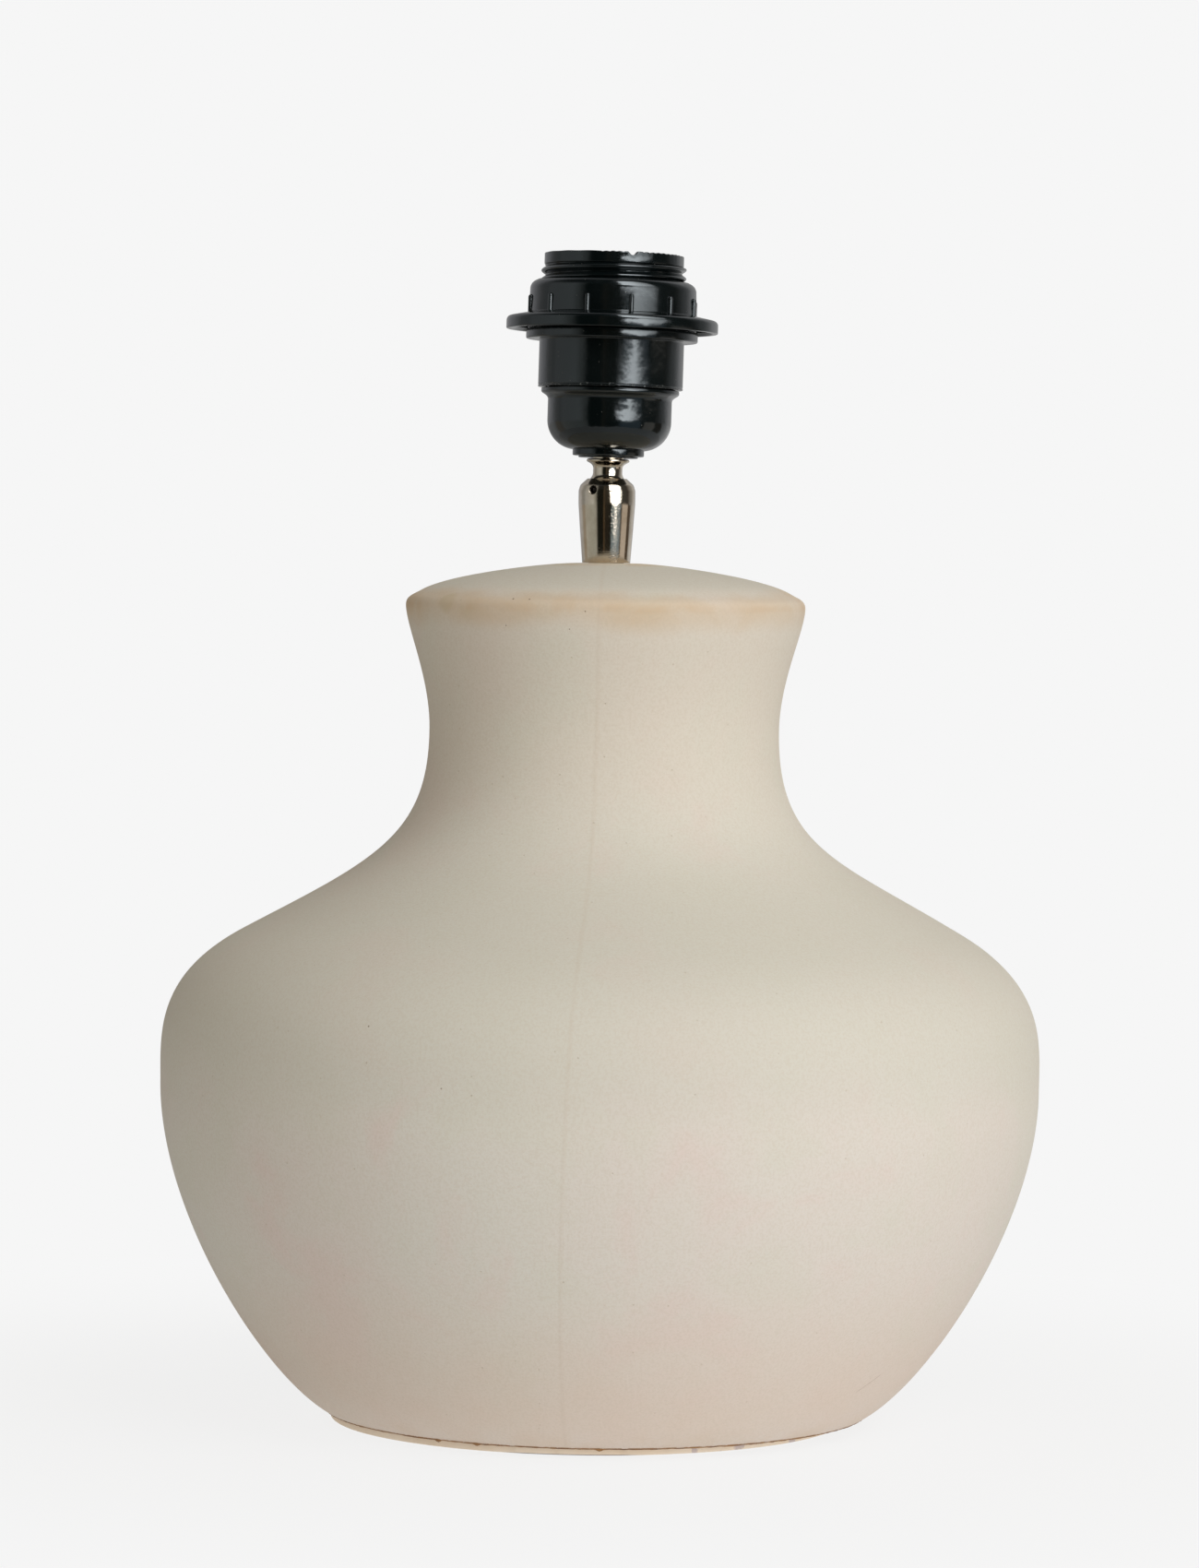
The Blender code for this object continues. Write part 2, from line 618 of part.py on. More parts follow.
def make_stop_pin(finish, ball_place):
    """Set the pin through the socket's wall into the groove of the ball."""
    tip = math.sqrt(BALL_RADIUS ** 2 - PIN_RISE ** 2) - PIN_BITE
    head = SOCKET_RADIUS - PIN_RECESS
    pin = add_object("stop_pin", prism_mesh("stop_pin", polygon(PIN_RADIUS, SMALL_SIDES // 2), tip, head),
                     finish, ball_place)
    pin.location.z = PIN_RISE
    pin.rotation_euler = (0, math.pi / 2, PIN_AZIMUTH)


def make_ball_stud(finish, holder):
    """Turn the hollow ball stud, and mill the groove that stops it at either end of its turn.

    The groove's floor is round about the ball's centre, so the pin clears it however the stud leans.
    """
    crown = STUD_FLANGE_RISE + STUD_FLANGE_EDGE
    tip = STUD_FLANGE_TOP + SPIGOT_LENGTH
    undercut = STUD_FLANGE_TOP + UNDERCUT_HEIGHT
    fillet = (BALL_RADIUS * math.cos(NECK_BLEND) - NECK_STUD_RADIUS) / (1 - math.cos(NECK_BLEND))
    neck_foot = (BALL_RADIUS + fillet) * math.sin(NECK_BLEND)
    neck_top = max(NECK_STUD_RISE, neck_foot) + NECK_STRAIGHT
    ball_end = -math.asin(BALL_FLAT_DROP / BALL_RADIUS)
    up = math.pi / 2
    loop = [(STUD_BORE_RADIUS, tip), (ROD_RADIUS, tip), (ROD_RADIUS, undercut),
            (UNDERCUT_RADIUS, undercut - UNDERCUT_HEIGHT / 2), (UNDERCUT_RADIUS, STUD_FLANGE_TOP),
            (STUD_FLANGE_RADIUS - STUD_FLANGE_CROWN, STUD_FLANGE_TOP), (STUD_FLANGE_RADIUS, crown)]
    flare = sweep((NECK_STUD_RADIUS, neck_top), up, (STUD_FLANGE_RADIUS, STUD_FLANGE_RISE),
                  STUD_FLARE_SLOPE, STUD_FLARE_SHARES, 3)
    loop += flare[::-1]
    loop += arc((NECK_STUD_RADIUS + fillet, neck_foot), fillet, math.pi, math.pi + NECK_BLEND, 2)
    loop += arc((0, 0), BALL_RADIUS, NECK_BLEND, ball_end, 6)[1:]
    loop += [(STUD_BORE_RADIUS + STUD_BORE_FLARE, -BALL_FLAT_DROP),
             (STUD_BORE_RADIUS, -BALL_FLAT_DROP + STUD_BORE_FLARE)]
    stud = add_object("ball_stud", turned_mesh("ball_stud", loop, SWIVEL_SIDES), finish, holder)
    half = PIN_RADIUS + BALL_RADIUS * math.sin(TILT_LIMIT) + CLEARANCE
    low = PIN_RISE - half
    high = PIN_RISE + half
    floor = BALL_RADIUS - GROOVE_DEPTH
    outside = BALL_RADIUS + OVERRUN
    track = arc((0, 0), floor, math.asin(low / floor), math.asin(high / floor), 2)
    track += [(outside, high), (outside, low)]
    open_angle = math.tau - 2 * STOP_HALF_ANGLE
    mill = add_object("groove_mill", turned_mesh("groove_mill", track, SWIVEL_SIDES - 2, open_angle),
                      finish, holder)
    mill.rotation_euler.z = PIN_AZIMUTH + math.pi + STOP_HALF_ANGLE
    boolean(stud, mill, "DIFFERENCE")


def make_friction_seat(seat_finish, spring_finish, turn_axis, ball_place):
    """Turn the nylon seat under the ball, and the conical spring that lifts it."""
    seat_curve = BALL_RADIUS + CLEARANCE
    inner_angle = -math.acos(SEAT_BORE_RADIUS / seat_curve)
    outer_angle = -math.asin(SEAT_LIP_DROP / seat_curve)
    bottom = -SEAT_LIP_DROP - SEAT_HEIGHT
    loop = arc((0, 0), seat_curve, inner_angle, outer_angle, 3)
    loop += [(SEAT_RADIUS, -SEAT_LIP_DROP), (SEAT_RADIUS, bottom), (SEAT_BORE_RADIUS, bottom)]
    add_object("friction_seat", turned_mesh("friction_seat", loop, SWIVEL_SIDES), seat_finish, turn_axis)
    inner_top = bottom - CLEARANCE
    outer_top = inner_top - SPRING_CONE
    ring = [(SEAT_BORE_RADIUS, inner_top), (SEAT_RADIUS, outer_top),
            (SEAT_RADIUS, outer_top - SPRING_THICKNESS), (SEAT_BORE_RADIUS, inner_top - SPRING_THICKNESS)]
    add_object("disc_spring", turned_mesh("disc_spring", ring, SMALL_SIDES), spring_finish, ball_place)


def make_cup(finish, holder):
    """Turn the lampholder's moulded cup, with its boss below and its threaded spigot above."""
    arc_centre = (CUP_RADIUS - CUP_ROUNDING, CUP_ARC_LEVEL)
    meet = math.acos((BOSS_RADIUS - arc_centre[0]) / CUP_ROUNDING)
    pocket = THREAD_BUSH_RADIUS + CLEARANCE
    pocket_floor = STEP_BOTTOM + THREAD_BUSH_FLOOR
    collar = pocket + THREAD_BUSH_COLLAR_WALL
    collar_top = pocket_floor + CLEARANCE + THREAD_BUSH_HEIGHT
    lining = CUP_ROUNDING - CUP_WALL
    inner_start = math.acos((collar - arc_centre[0]) / lining)
    spigot_bore = SPIGOT_RADIUS - CUP_WALL
    loop = [(SPIGOT_RADIUS, CUP_TOP), (SPIGOT_RADIUS, CUP_BAND_TOP), (CUP_BAND_RADIUS, CUP_BAND_TOP),
            (CUP_BAND_RADIUS, CUP_BAND_LEVEL)]
    loop += sweep((CUP_RADIUS, CUP_FLARE_LEVEL), math.pi / 2, (CUP_BAND_RADIUS, CUP_BAND_LEVEL),
                  CUP_FLARE_SLOPE, CUP_FLARE_SHARES, 2)[::-1][1:]
    loop += arc(arc_centre, CUP_ROUNDING, 0, -meet, 4)
    loop += [(BOSS_RADIUS, BOSS_BOTTOM), (STEP_RADIUS, BOSS_BOTTOM), (STEP_RADIUS, STEP_BOTTOM),
             (ROD_RADIUS + CLEARANCE, STEP_BOTTOM), (ROD_RADIUS + CLEARANCE, pocket_floor),
             (pocket, pocket_floor), (pocket, collar_top), (collar, collar_top)]
    loop += arc(arc_centre, lining, -inner_start, 0, 3)
    loop += [(CUP_RADIUS - CUP_WALL, CUP_FLARE_LEVEL), (spigot_bore, CUP_BAND_LEVEL),
             (spigot_bore, CUP_TOP)]
    add_object("holder_cup", turned_mesh("holder_cup", loop, HOLDER_SIDES), finish, holder)


def make_thread_bush(finish, holder):
    """Turn the brass bush that takes the stud's thread."""
    low = STEP_BOTTOM + THREAD_BUSH_FLOOR + CLEARANCE
    loop = tube_outline(ROD_RADIUS + CLEARANCE, THREAD_BUSH_RADIUS, low, low + THREAD_BUSH_HEIGHT)
    add_object("thread_bush", turned_mesh("thread_bush", loop, SMALL_SIDES), finish, holder)


def make_sleeve(finish, holder):
    """Turn the sleeve: barrel, shoulder collar and skirt outside, and the lamp's tube inside."""
    wall = BARREL_RADIUS - SLEEVE_WALL
    tube = LAMP_BORE_RADIUS + LAMP_TUBE_WALL
    rim = LIP_RADIUS - RIM_WALL
    funnel_top = SLEEVE_TOP - RIM_INNER_HEIGHT
    funnel_foot = funnel_top - FUNNEL_DEPTH
    web = funnel_foot - LAMP_TUBE_WALL
    step = SKIRT_RADIUS - LIP_RADIUS
    loop = [(rim, SLEEVE_TOP), (LIP_RADIUS, SLEEVE_TOP), (LIP_RADIUS, SKIRT_TOP),
            (SKIRT_RADIUS, SKIRT_TOP - step), (SKIRT_RADIUS, COLLAR_TOP), (COLLAR_RADIUS, COLLAR_TOP),
            (COLLAR_RADIUS, COLLAR_BOTTOM + COLLAR_ROUNDING),
            (COLLAR_RADIUS - COLLAR_ROUNDING, COLLAR_BOTTOM),
            (BARREL_RADIUS + COLLAR_ROUNDING, COLLAR_BOTTOM),
            (BARREL_RADIUS, COLLAR_BOTTOM - COLLAR_ROUNDING),
            (BARREL_RADIUS, SLEEVE_BOTTOM), (wall, SLEEVE_BOTTOM), (wall, web), (tube, web),
            (tube, LAMP_TUBE_BOTTOM), (LAMP_BORE_RADIUS, LAMP_TUBE_BOTTOM), (LAMP_BORE_RADIUS, funnel_foot),
            (rim, funnel_top)]
    sleeve = add_object("holder_sleeve", turned_mesh("holder_sleeve", loop, HOLDER_SIDES), finish, holder)
    reach = RIM_WALL + OVERRUN
    wedge = [(0, -NOTCH_DEPTH), (NOTCH_WIDTH / 2, 0), (NOTCH_WIDTH, NOTCH_DEPTH),
             (-NOTCH_WIDTH, NOTCH_DEPTH), (-NOTCH_WIDTH / 2, 0)]
    notch = add_object("rim_notch", prism_mesh("rim_notch", wedge, -reach, OVERRUN), finish, holder)
    toward = Vector((math.cos(NOTCH_AZIMUTH), math.sin(NOTCH_AZIMUTH), 0))
    notch.location = toward * LIP_RADIUS + Vector((0, 0, SLEEVE_TOP))
    notch.rotation_euler = (math.pi / 2, 0, NOTCH_AZIMUTH + math.pi / 2)
    boolean(sleeve, notch, "DIFFERENCE")


def make_shade_ring(finish, holder):
    """Turn the shade ring with its hollow flange, and join its grip ribs on."""
    bore = SKIRT_RADIUS + CLEARANCE
    top = RING_BOTTOM + RING_HEIGHT
    deck = RING_BOTTOM + FLANGE_RISE
    under = deck - FLANGE_THICKNESS
    rim_bottom = RING_BOTTOM - FLANGE_RIM_DROP
    rim_inside = FLANGE_RADIUS - FLANGE_RIM_WALL
    loop = [(bore, top - RING_BORE_CHAMFER), (bore + RING_BORE_CHAMFER, top)]
    loop += arc((RING_HUB_RADIUS - RING_TOP_ROUNDING, top - RING_TOP_ROUNDING), RING_TOP_ROUNDING,
                RING_TOP_START, 0, 2)
    loop += [(RING_HUB_RADIUS, deck)]
    loop += arc((FLANGE_RADIUS - FLANGE_ROUNDING, deck - FLANGE_ROUNDING), FLANGE_ROUNDING,
                math.pi / 2, 0, 3)
    loop += [(FLANGE_RADIUS, rim_bottom), (rim_inside + FLANGE_RIM_CHAMFER, rim_bottom),
             (rim_inside, rim_bottom + FLANGE_RIM_CHAMFER), (rim_inside, under - FLANGE_RIM_CHAMFER),
             (rim_inside - FLANGE_RIM_CHAMFER, under), (RING_HUB_RADIUS, under),
             (RING_HUB_RADIUS, RING_BOTTOM), (bore, RING_BOTTOM)]
    ring = add_object("shade_ring", turned_mesh("shade_ring", loop, HOLDER_SIDES), finish, holder)
    depth = RING_HUB_RADIUS - bore
    length = RIB_STAND + depth / 2
    rib = prism_mesh("rib", box_outline(length, RIB_WIDTH), deck - FLANGE_THICKNESS / 2, deck + RIB_HEIGHT)
    middle = RING_HUB_RADIUS + RIB_STAND - length / 2
    places = [Matrix.Rotation(RIB_AZIMUTH + math.tau * count / RIB_COUNT, 4, "Z")
              @ Matrix.Translation((middle, 0, 0)) for count in range(RIB_COUNT)]
    ribs = add_group("grip_ribs", [(rib, place) for place in places], finish, holder)
    boolean(ring, ribs, "UNION")


def make_contact_block(finish, holder):
    """Turn the insulating block, with a slot across its boss for the contacts."""
    radius = BARREL_RADIUS - SLEEVE_WALL - CLEARANCE
    loop = [(0, BLOCK_TOP), (BLOCK_BOSS_RADIUS, BLOCK_TOP), (BLOCK_BOSS_RADIUS, BLOCK_LEDGE),
            (radius, BLOCK_LEDGE), (radius, BLOCK_BOTTOM), (0, BLOCK_BOTTOM)]
    block = add_object("contact_block", turned_mesh("contact_block", loop, SWIVEL_SIDES), finish, holder)
    slot = box_outline(2 * (BLOCK_BOSS_RADIUS + OVERRUN), BLOCK_SLOT_WIDTH)
    floor = BLOCK_TOP - BLOCK_SLOT_DEPTH
    cutter = add_object("contact_slot", prism_mesh("contact_slot", slot, floor, BLOCK_TOP + OVERRUN),
                        finish, holder)
    boolean(block, cutter, "DIFFERENCE")
    drill = prism_mesh("screw_drill", polygon(CONTACT_SCREW_RADIUS + CLEARANCE, SMALL_SIDES // 2),
                       BLOCK_BOTTOM - OVERRUN, BLOCK_TOP + OVERRUN)
    places = [Matrix.Translation((side * CONTACT_SCREW_OFFSET, 0, 0)) for side in (-1, 1)]
    drills = add_group("screw_drills", [(drill, place) for place in places], finish, holder)
    boolean(block, drills, "DIFFERENCE")


def strip_mesh(name, route):
    """Bend a flat strip along a route of (x, height) points."""
    bm = bmesh.new()
    half = CONTACT_WIDTH / 2
    rows = []
    for index, point in enumerate(route):
        before = Vector(route[max(index - 1, 0)])
        after = Vector(route[min(index + 1, len(route) - 1)])
        along = (after - before).normalized()
        square = Vector((-along.y, along.x)) * CONTACT_THICKNESS / 2
        corners = [(point[0] + sign * square.x, side * half, point[1] + sign * square.y)
                   for sign, side in ((1, 1), (1, -1), (-1, -1), (-1, 1))]
        rows.append([bm.verts.new(corner) for corner in corners])
    for low, high in zip(rows, rows[1:]):
        for corner in range(4):
            after = (corner + 1) % 4
            bm.faces.new((low[corner], low[after], high[after], high[corner]))
    bm.faces.new(rows[0])
    bm.faces.new(rows[-1])
    return mesh_from(name, bm)


def make_contacts(finish, holder):
    """Bend the two sprung tongues that the lamp cap presses on, and drill them for their screws."""
    level = BLOCK_TOP - BLOCK_SLOT_DEPTH + CLEARANCE + CONTACT_THICKNESS / 2
    pad = CONTACT_HEAD_RADIUS
    start = -CONTACT_SCREW_OFFSET - pad
    lift = level + CENTRE_CONTACT_RISE
    centre_route = [(start, level), (-CONTACT_SCREW_OFFSET + pad, level),
                    (-CENTRE_CONTACT_REACH, lift), (CENTRE_CONTACT_REACH, lift)]
    top = level + SIDE_CONTACT_RISE
    side_route = [(CONTACT_SCREW_OFFSET - pad, level), (SIDE_CONTACT_RADIUS - CONTACT_THICKNESS, level),
                  (SIDE_CONTACT_RADIUS, level + CONTACT_THICKNESS),
                  (SIDE_CONTACT_RADIUS, (level + top) / 2), (SIDE_CONTACT_RADIUS - SIDE_CONTACT_LEAN, top)]
    for name, route, place in (("centre_contact", centre_route, -CONTACT_SCREW_OFFSET),
                               ("side_contact", side_route, CONTACT_SCREW_OFFSET)):
        contact = add_object(name, strip_mesh(name, route), finish, holder)
        drill = prism_mesh(f"{name}_drill", polygon(CONTACT_SCREW_RADIUS + CLEARANCE, SMALL_SIDES // 2),
                           level - OVERRUN, level + OVERRUN)
        hole = add_object(f"{name}_drill", drill, finish, holder)
        hole.location.x = place
        boolean(contact, hole, "DIFFERENCE")


def make_contact_screws(finish, holder):
    """Set the two slotted screws that fasten each contact through the block to its terminal."""
    head_low = BLOCK_TOP - BLOCK_SLOT_DEPTH + CLEARANCE + CONTACT_THICKNESS + CLEARANCE
    head_top = head_low + CONTACT_HEAD_HEIGHT
    shank_low = BLOCK_BOTTOM - CLEARANCE - CONTACT_SCREW_BITE
    loop = [(0, head_top), (CONTACT_HEAD_RADIUS, head_top), (CONTACT_HEAD_RADIUS, head_low),
            (CONTACT_SCREW_RADIUS, head_low), (CONTACT_SCREW_RADIUS, shank_low), (0, shank_low)]
    slot = box_outline(2 * (CONTACT_HEAD_RADIUS + OVERRUN), SCREW_SLOT_WIDTH)
    for side, along in TERMINAL_SIDES:
        name = f"contact_screw_{side}"
        screw = add_object(name, turned_mesh(name, loop, SMALL_SIDES // 2), finish, holder)
        cutter = add_object(f"{name}_slot", prism_mesh(f"{name}_slot", slot, head_top - SCREW_SLOT_DEPTH,
                                                       head_top + OVERRUN), finish, holder)
        for piece in (screw, cutter):
            piece.location.x = along * CONTACT_SCREW_OFFSET
        boolean(screw, cutter, "DIFFERENCE")


def make_terminals(finish, screw_finish, holder):
    """Make the two clamp blocks under the contact block, with a wire hole and a clamp screw each."""
    top = BLOCK_BOTTOM - CLEARANCE
    low = top - TERMINAL_HEIGHT
    wire_level = top - TERMINAL_WIRE_DROP
    sides = SMALL_SIDES // 2
    wire = (polygon(TERMINAL_WIRE_RADIUS, sides), -TERMINAL_WIDTH, TERMINAL_WIDTH)
    tapping = (polygon(CONTACT_SCREW_RADIUS + CLEARANCE, sides),
               top - CONTACT_SCREW_BITE - CLEARANCE, top + OVERRUN)
    clamp = (polygon(TERMINAL_SCREW_RADIUS + CLEARANCE, sides), low - OVERRUN, wire_level)
    shank = (polygon(TERMINAL_SCREW_RADIUS, sides), low - TERMINAL_SCREW_STAND,
             wire_level - TERMINAL_WIRE_RADIUS)
    for side, along in TERMINAL_SIDES:
        name = f"terminal_{side}"
        block = prism_mesh(name, box_outline(TERMINAL_LENGTH, TERMINAL_WIDTH), low, top)
        terminal = add_object(name, block, finish, holder)
        terminal.location.x = along * CONTACT_SCREW_OFFSET
        for label, shape in (("wire_hole", wire), ("tapping", tapping), ("clamp_hole", clamp)):
            cutter_name = f"{name}_{label}"
            cutter = add_object(cutter_name, prism_mesh(cutter_name, *shape), finish, holder)
            cutter.location.x = along * CONTACT_SCREW_OFFSET
            if label == "wire_hole":
                cutter.rotation_euler.x = math.pi / 2
                cutter.location.z = wire_level
            boolean(terminal, cutter, "DIFFERENCE")
        screw_name = f"terminal_screw_{side}"
        screw = add_object(screw_name, prism_mesh(screw_name, *shank), screw_finish, holder)
        screw.location.x = along * CONTACT_SCREW_OFFSET


def build():
    """Build the whole lamp base."""
    clear_scene()
    finishes = make_materials()
    cord_axis = make_cord_axis()
    make_ceramic_body(finishes["stoneware"], cord_axis)
    make_cord_bush(finishes["rubber"], cord_axis)
    make_foot(finishes["foot"], finishes["felt"])
    make_fixing(finishes)
    ball_place = add_empty("ball_place", (0, 0, BALL_LEVEL), (0, 0, 0))
    turn_axis = add_empty("turn_axis", (0, 0, BALL_LEVEL), (0, 0, LEAN_AZIMUTH))
    tilt_axis = add_empty("tilt_axis", (0, 0, 0), (0, LEAN, 0), turn_axis)
    holder = add_empty("holder_axis", (0, 0, 0), (0, 0, -LEAN_AZIMUTH), tilt_axis)
    make_socket(finishes["nickel"], ball_place)
    make_stop_pin(finishes["spring_steel"], ball_place)
    make_friction_seat(finishes["nylon"], finishes["spring_steel"], turn_axis, ball_place)
    make_ball_stud(finishes["nickel"], holder)
    make_cup(finishes["black_moulding"], holder)
    make_thread_bush(finishes["brass"], holder)
    make_sleeve(finishes["black_moulding"], holder)
    make_shade_ring(finishes["black_moulding"], holder)
    make_contact_block(finishes["insulator"], holder)
    make_contacts(finishes["brass"], holder)
    make_contact_screws(finishes["steel"], holder)
    make_terminals(finishes["brass"], finishes["steel"], holder)


build()
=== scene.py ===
"""Looks of a table lamp base: stoneware body on its foot, ball swivel, and moulded lampholder.

Metres, +Z up. The origin lies on the table under the middle of the body, and -Y is the front.
Pieces of the swivel and the lampholder are turned about the upright axis and then set on the ball.
"""

import json
import math

import bmesh
import bpy
import numpy as np
from mathutils import Matrix, Vector


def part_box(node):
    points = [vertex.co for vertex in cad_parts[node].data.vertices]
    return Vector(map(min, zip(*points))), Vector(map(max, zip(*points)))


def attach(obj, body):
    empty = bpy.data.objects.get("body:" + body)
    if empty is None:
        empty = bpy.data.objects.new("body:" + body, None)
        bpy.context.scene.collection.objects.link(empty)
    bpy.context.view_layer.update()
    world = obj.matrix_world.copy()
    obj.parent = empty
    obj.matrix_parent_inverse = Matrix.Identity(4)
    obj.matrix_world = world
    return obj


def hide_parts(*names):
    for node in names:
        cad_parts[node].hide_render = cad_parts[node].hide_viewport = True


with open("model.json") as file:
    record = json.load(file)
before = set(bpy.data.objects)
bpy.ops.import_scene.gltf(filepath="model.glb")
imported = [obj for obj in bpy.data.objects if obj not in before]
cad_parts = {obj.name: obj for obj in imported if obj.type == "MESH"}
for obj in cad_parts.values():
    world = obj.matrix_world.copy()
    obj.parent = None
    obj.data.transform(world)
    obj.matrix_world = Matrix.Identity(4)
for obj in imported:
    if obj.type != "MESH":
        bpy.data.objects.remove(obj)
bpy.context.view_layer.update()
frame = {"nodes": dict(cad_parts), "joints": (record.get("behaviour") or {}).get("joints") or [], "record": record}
joints = {joint["name"]: joint for joint in frame["joints"]}

# Stoneware body, as the solids have it
BODY_FOOT_RADIUS = 0.0752
BELLY_RISE = 0.0899
SHOULDER_RADIUS = 0.0998
SHOULDER_RISE = 0.0419
NECK_RADIUS = 0.0484
NECK_RISE = 0.0561
RIM_RADIUS = 0.0552
RIM_RISE = 0.0334
DOME_START_INSET = 0.0044
DOME_START_RISE = 0.0047
DOME_SEAT_RADIUS = 0.0076
BODY_WALL = 0.0060
BODY_OPENING_RADIUS = 0.0500
BODY_FOOT_ROUNDING = 0.0008
ROD_HOLE_RADIUS = 0.00515
FOOT_SLOPE = math.radians(29.0)
SHOULDER_SLOPE = math.radians(150.5)
RIM_FLARE = math.radians(86.0)
DOME_START_SLOPE = math.radians(150.0)
FOOT_TO_BELLY_SHARES = (0.20, 0.35)
BELLY_TO_SHOULDER_SHARES = (0.27, 0.58)
SHOULDER_TO_NECK_SHARES = (0.535, 0.413)
NECK_TO_RIM_SHARES = (0.40, 0.19)
RIM_ROUNDING_SHARES = (0.45, 0.50)
DOME_SHARES = (0.20, 0.20)
LINING_INNER_RADIUS = 0.0140
LINING_CROWN_RADIUS = 0.0160

# Mould seams of the body: where the front one runs, with its twist for a metre of height, and how it
# stands proud
SEAM_AZIMUTH = math.radians(5.9)
SEAM_TWIST = math.radians(18.6)
SEAM_HEIGHT = 0.00003
SEAM_WIDTH = 0.00040
SEAM_STEPS = (0.0, 0.0002, 0.0004, 0.0007, 0.0012, 0.0020, 0.0034)
SEAM_LEVEL_SHARE = 0.75
SEAM_RIPPLE_SHARE = 0.25
SEAM_RIPPLE_TURN = 210.0

# Unevenness of the cast body. Waves: share, number round the piece, turn per metre of height, start
BODY_WOBBLE = 0.00006
BODY_WAVES = ((1.0, 2, 26.0, 0.0), (0.6, 3, -31.0, 1.3), (0.4, 5, 0.0, 0.0))
EVEN_DOME_RADIUS = 0.0120
UNEVEN_DOME_RADIUS = 0.0300
EVEN_FOOT_HEIGHT = 0.0200
SHOULDER_SHIFT = 0.00095
SHOULDER_SHIFT_RISE = 0.0510
SHOULDER_SHIFT_REACH = 0.012

# Specks of the body that stand out, and blotches of its stain: azimuth, level, radius and size
BODY_SPECKS = (
    (math.radians(-27.2), 0.2267, 0.0542, 0.00036), (math.radians(-22.1), 0.2266, 0.0542, 0.00032),
    (math.radians(-5.7), 0.2236, 0.0552, 0.00028), (math.radians(-29.3), 0.2195, 0.0544, 0.00022),
    (math.radians(-10.2), 0.2188, 0.0542, 0.00022), (math.radians(-30.6), 0.1161, 0.1183, 0.00038),
    (math.radians(-19.7), 0.1012, 0.1213, 0.00036),
)
STAIN_BLOTCHES = (
    (math.radians(-51.6), 0.2261, 0.0548, 0.0042), (math.radians(-42.4), 0.2237, 0.0552, 0.0038),
    (math.radians(-17.4), 0.2232, 0.0551, 0.0032),
)
STAIN_RAGGEDNESS = 0.0085
HAIRLINE_AZIMUTH = math.radians(53.0)
HAIRLINE_TWIST = 16.0
HAIRLINE_LEVEL = 0.018
HAIRLINE_RAGGEDNESS = 0.006
HAIRLINE_EDGE = (0.0030, 0.0008)
HAIRLINE_FOOT = (0.0153, 0.0162)
HAIRLINE_HEAD = (0.0206, 0.0196)

# Levels between which the colour of the stoneware changes
LOW_TONE = (0.060, 0.006)
SHOULDER_TONE_FOOT = (0.085, 0.110)
SHOULDER_TONE_HEAD = (0.185, 0.140)
UPPER_TONE = (0.140, 0.190)
STAIN_FOOT = (0.2172, 0.2240)
STAIN_HEAD = (0.2300, 0.2266)
BROWN_FOOT = (0.2232, 0.2244)
BROWN_HEAD = (0.2262, 0.2248)
DOME_TONE = (0.2275, 0.2310)
HEEL_TONE = (0.0085, 0.0030)

# Widths over which it changes: to the right, below the swivel's seat (where a warm reflection of the swivel is
# painted), over the foot and at the seams
STAIN_WEAKENING = (0.060, 0.0)
SEAT_REFLECTION_DEPTHS = (0.0010, 0.0002)
EDGE_GLUE_HEIGHTS = (0.0004, 0.0001)
SEAM_TONE_WIDTHS = (0.0010, 0.0001)

# Edge of the choice of specked cells, as a share of them all
PICK_EDGE = 0.01

# Height of the fine relief of each finish
STONE_RELIEF = 0.00010
FOOT_RELIEF = 0.00006
GLUE_RELIEF = 0.00008
FELT_RELIEF = 0.00030
RUBBER_RELIEF = 0.00004
MOULDING_RELIEF = 0.00006
METAL_RELIEF = 0.00002
PALE_RELIEF = 0.00003

# Foot, felt and the glue that shows between foot and body
FOOT_OPENING_RADIUS = 0.0480
FELT_FIT = 0.0003
FELT_ROUNDING = 0.0002
FOOT_ROUNDING = 0.00025
FOOT_EDGE_SAG = 0.00025
FOOT_CHIP_DEPTH = 0.00045
FOOT_NIBBLE_REACH = 0.0012
FOOT_WAVE_DEPTH = 0.00012
FOOT_WAVES = ((0.40, 5, 0.0, 0.0), (0.30, 11, 0.0, 2.0), (0.15, 61, 0.0, 0.0))
FOOT_GLUE_DEPTH = 0.0003
FOOT_BOTTOM_LINE_DEPTH = 0.0001
FOOT_CHIPS_SIDE = (0.018, 0.026)
FELT_LINE_LEFT = (-0.026, -0.018)
FELT_LINE_RIGHT = (0.014, 0.006)
GLUE_BEAD_RADIUS = 0.00022
GLUE_LEAST_RADIUS = 0.00006
GLUE_UNEVENNESS = 0.00022
GLUE_INSET = 0.00030
GLUE_DROP = 0.00008
GLUE_BLOB_AZIMUTHS = (math.radians(-24.9), math.radians(0.8), math.radians(-34.0))
GLUE_BLOB_REACH = math.radians(1.0)
GLUE_BLOB_RADIUS = 0.00045

# Cord outlet, low at the back: its height is a share of the belly's, and it is square to the solid body,
# whose outline runs from foot to belly in a few straight steps
CORD_HOLE_SHARE = 0.27
SOLID_BELLY_STEPS = 7
CORD_HOLE_RADIUS = 0.0060
CORD_DRILL_OUT = 0.0040
CORD_DRILL_IN = 0.0110
BUSH_BORE_RADIUS = 0.0043
BUSH_FLANGE_RADIUS = 0.0083
BUSH_FLANGE_THICKNESS = 0.0014
BUSH_FLANGE_ROUNDING = 0.0006
BUSH_MOUTH_ROUNDING = 0.0005
BUSH_EDGE_ROUNDING = 0.0002
BUSH_FIT = 0.0002
BUSH_OUTER_SAG = 0.0004
BUSH_INNER_SAG = 0.0011

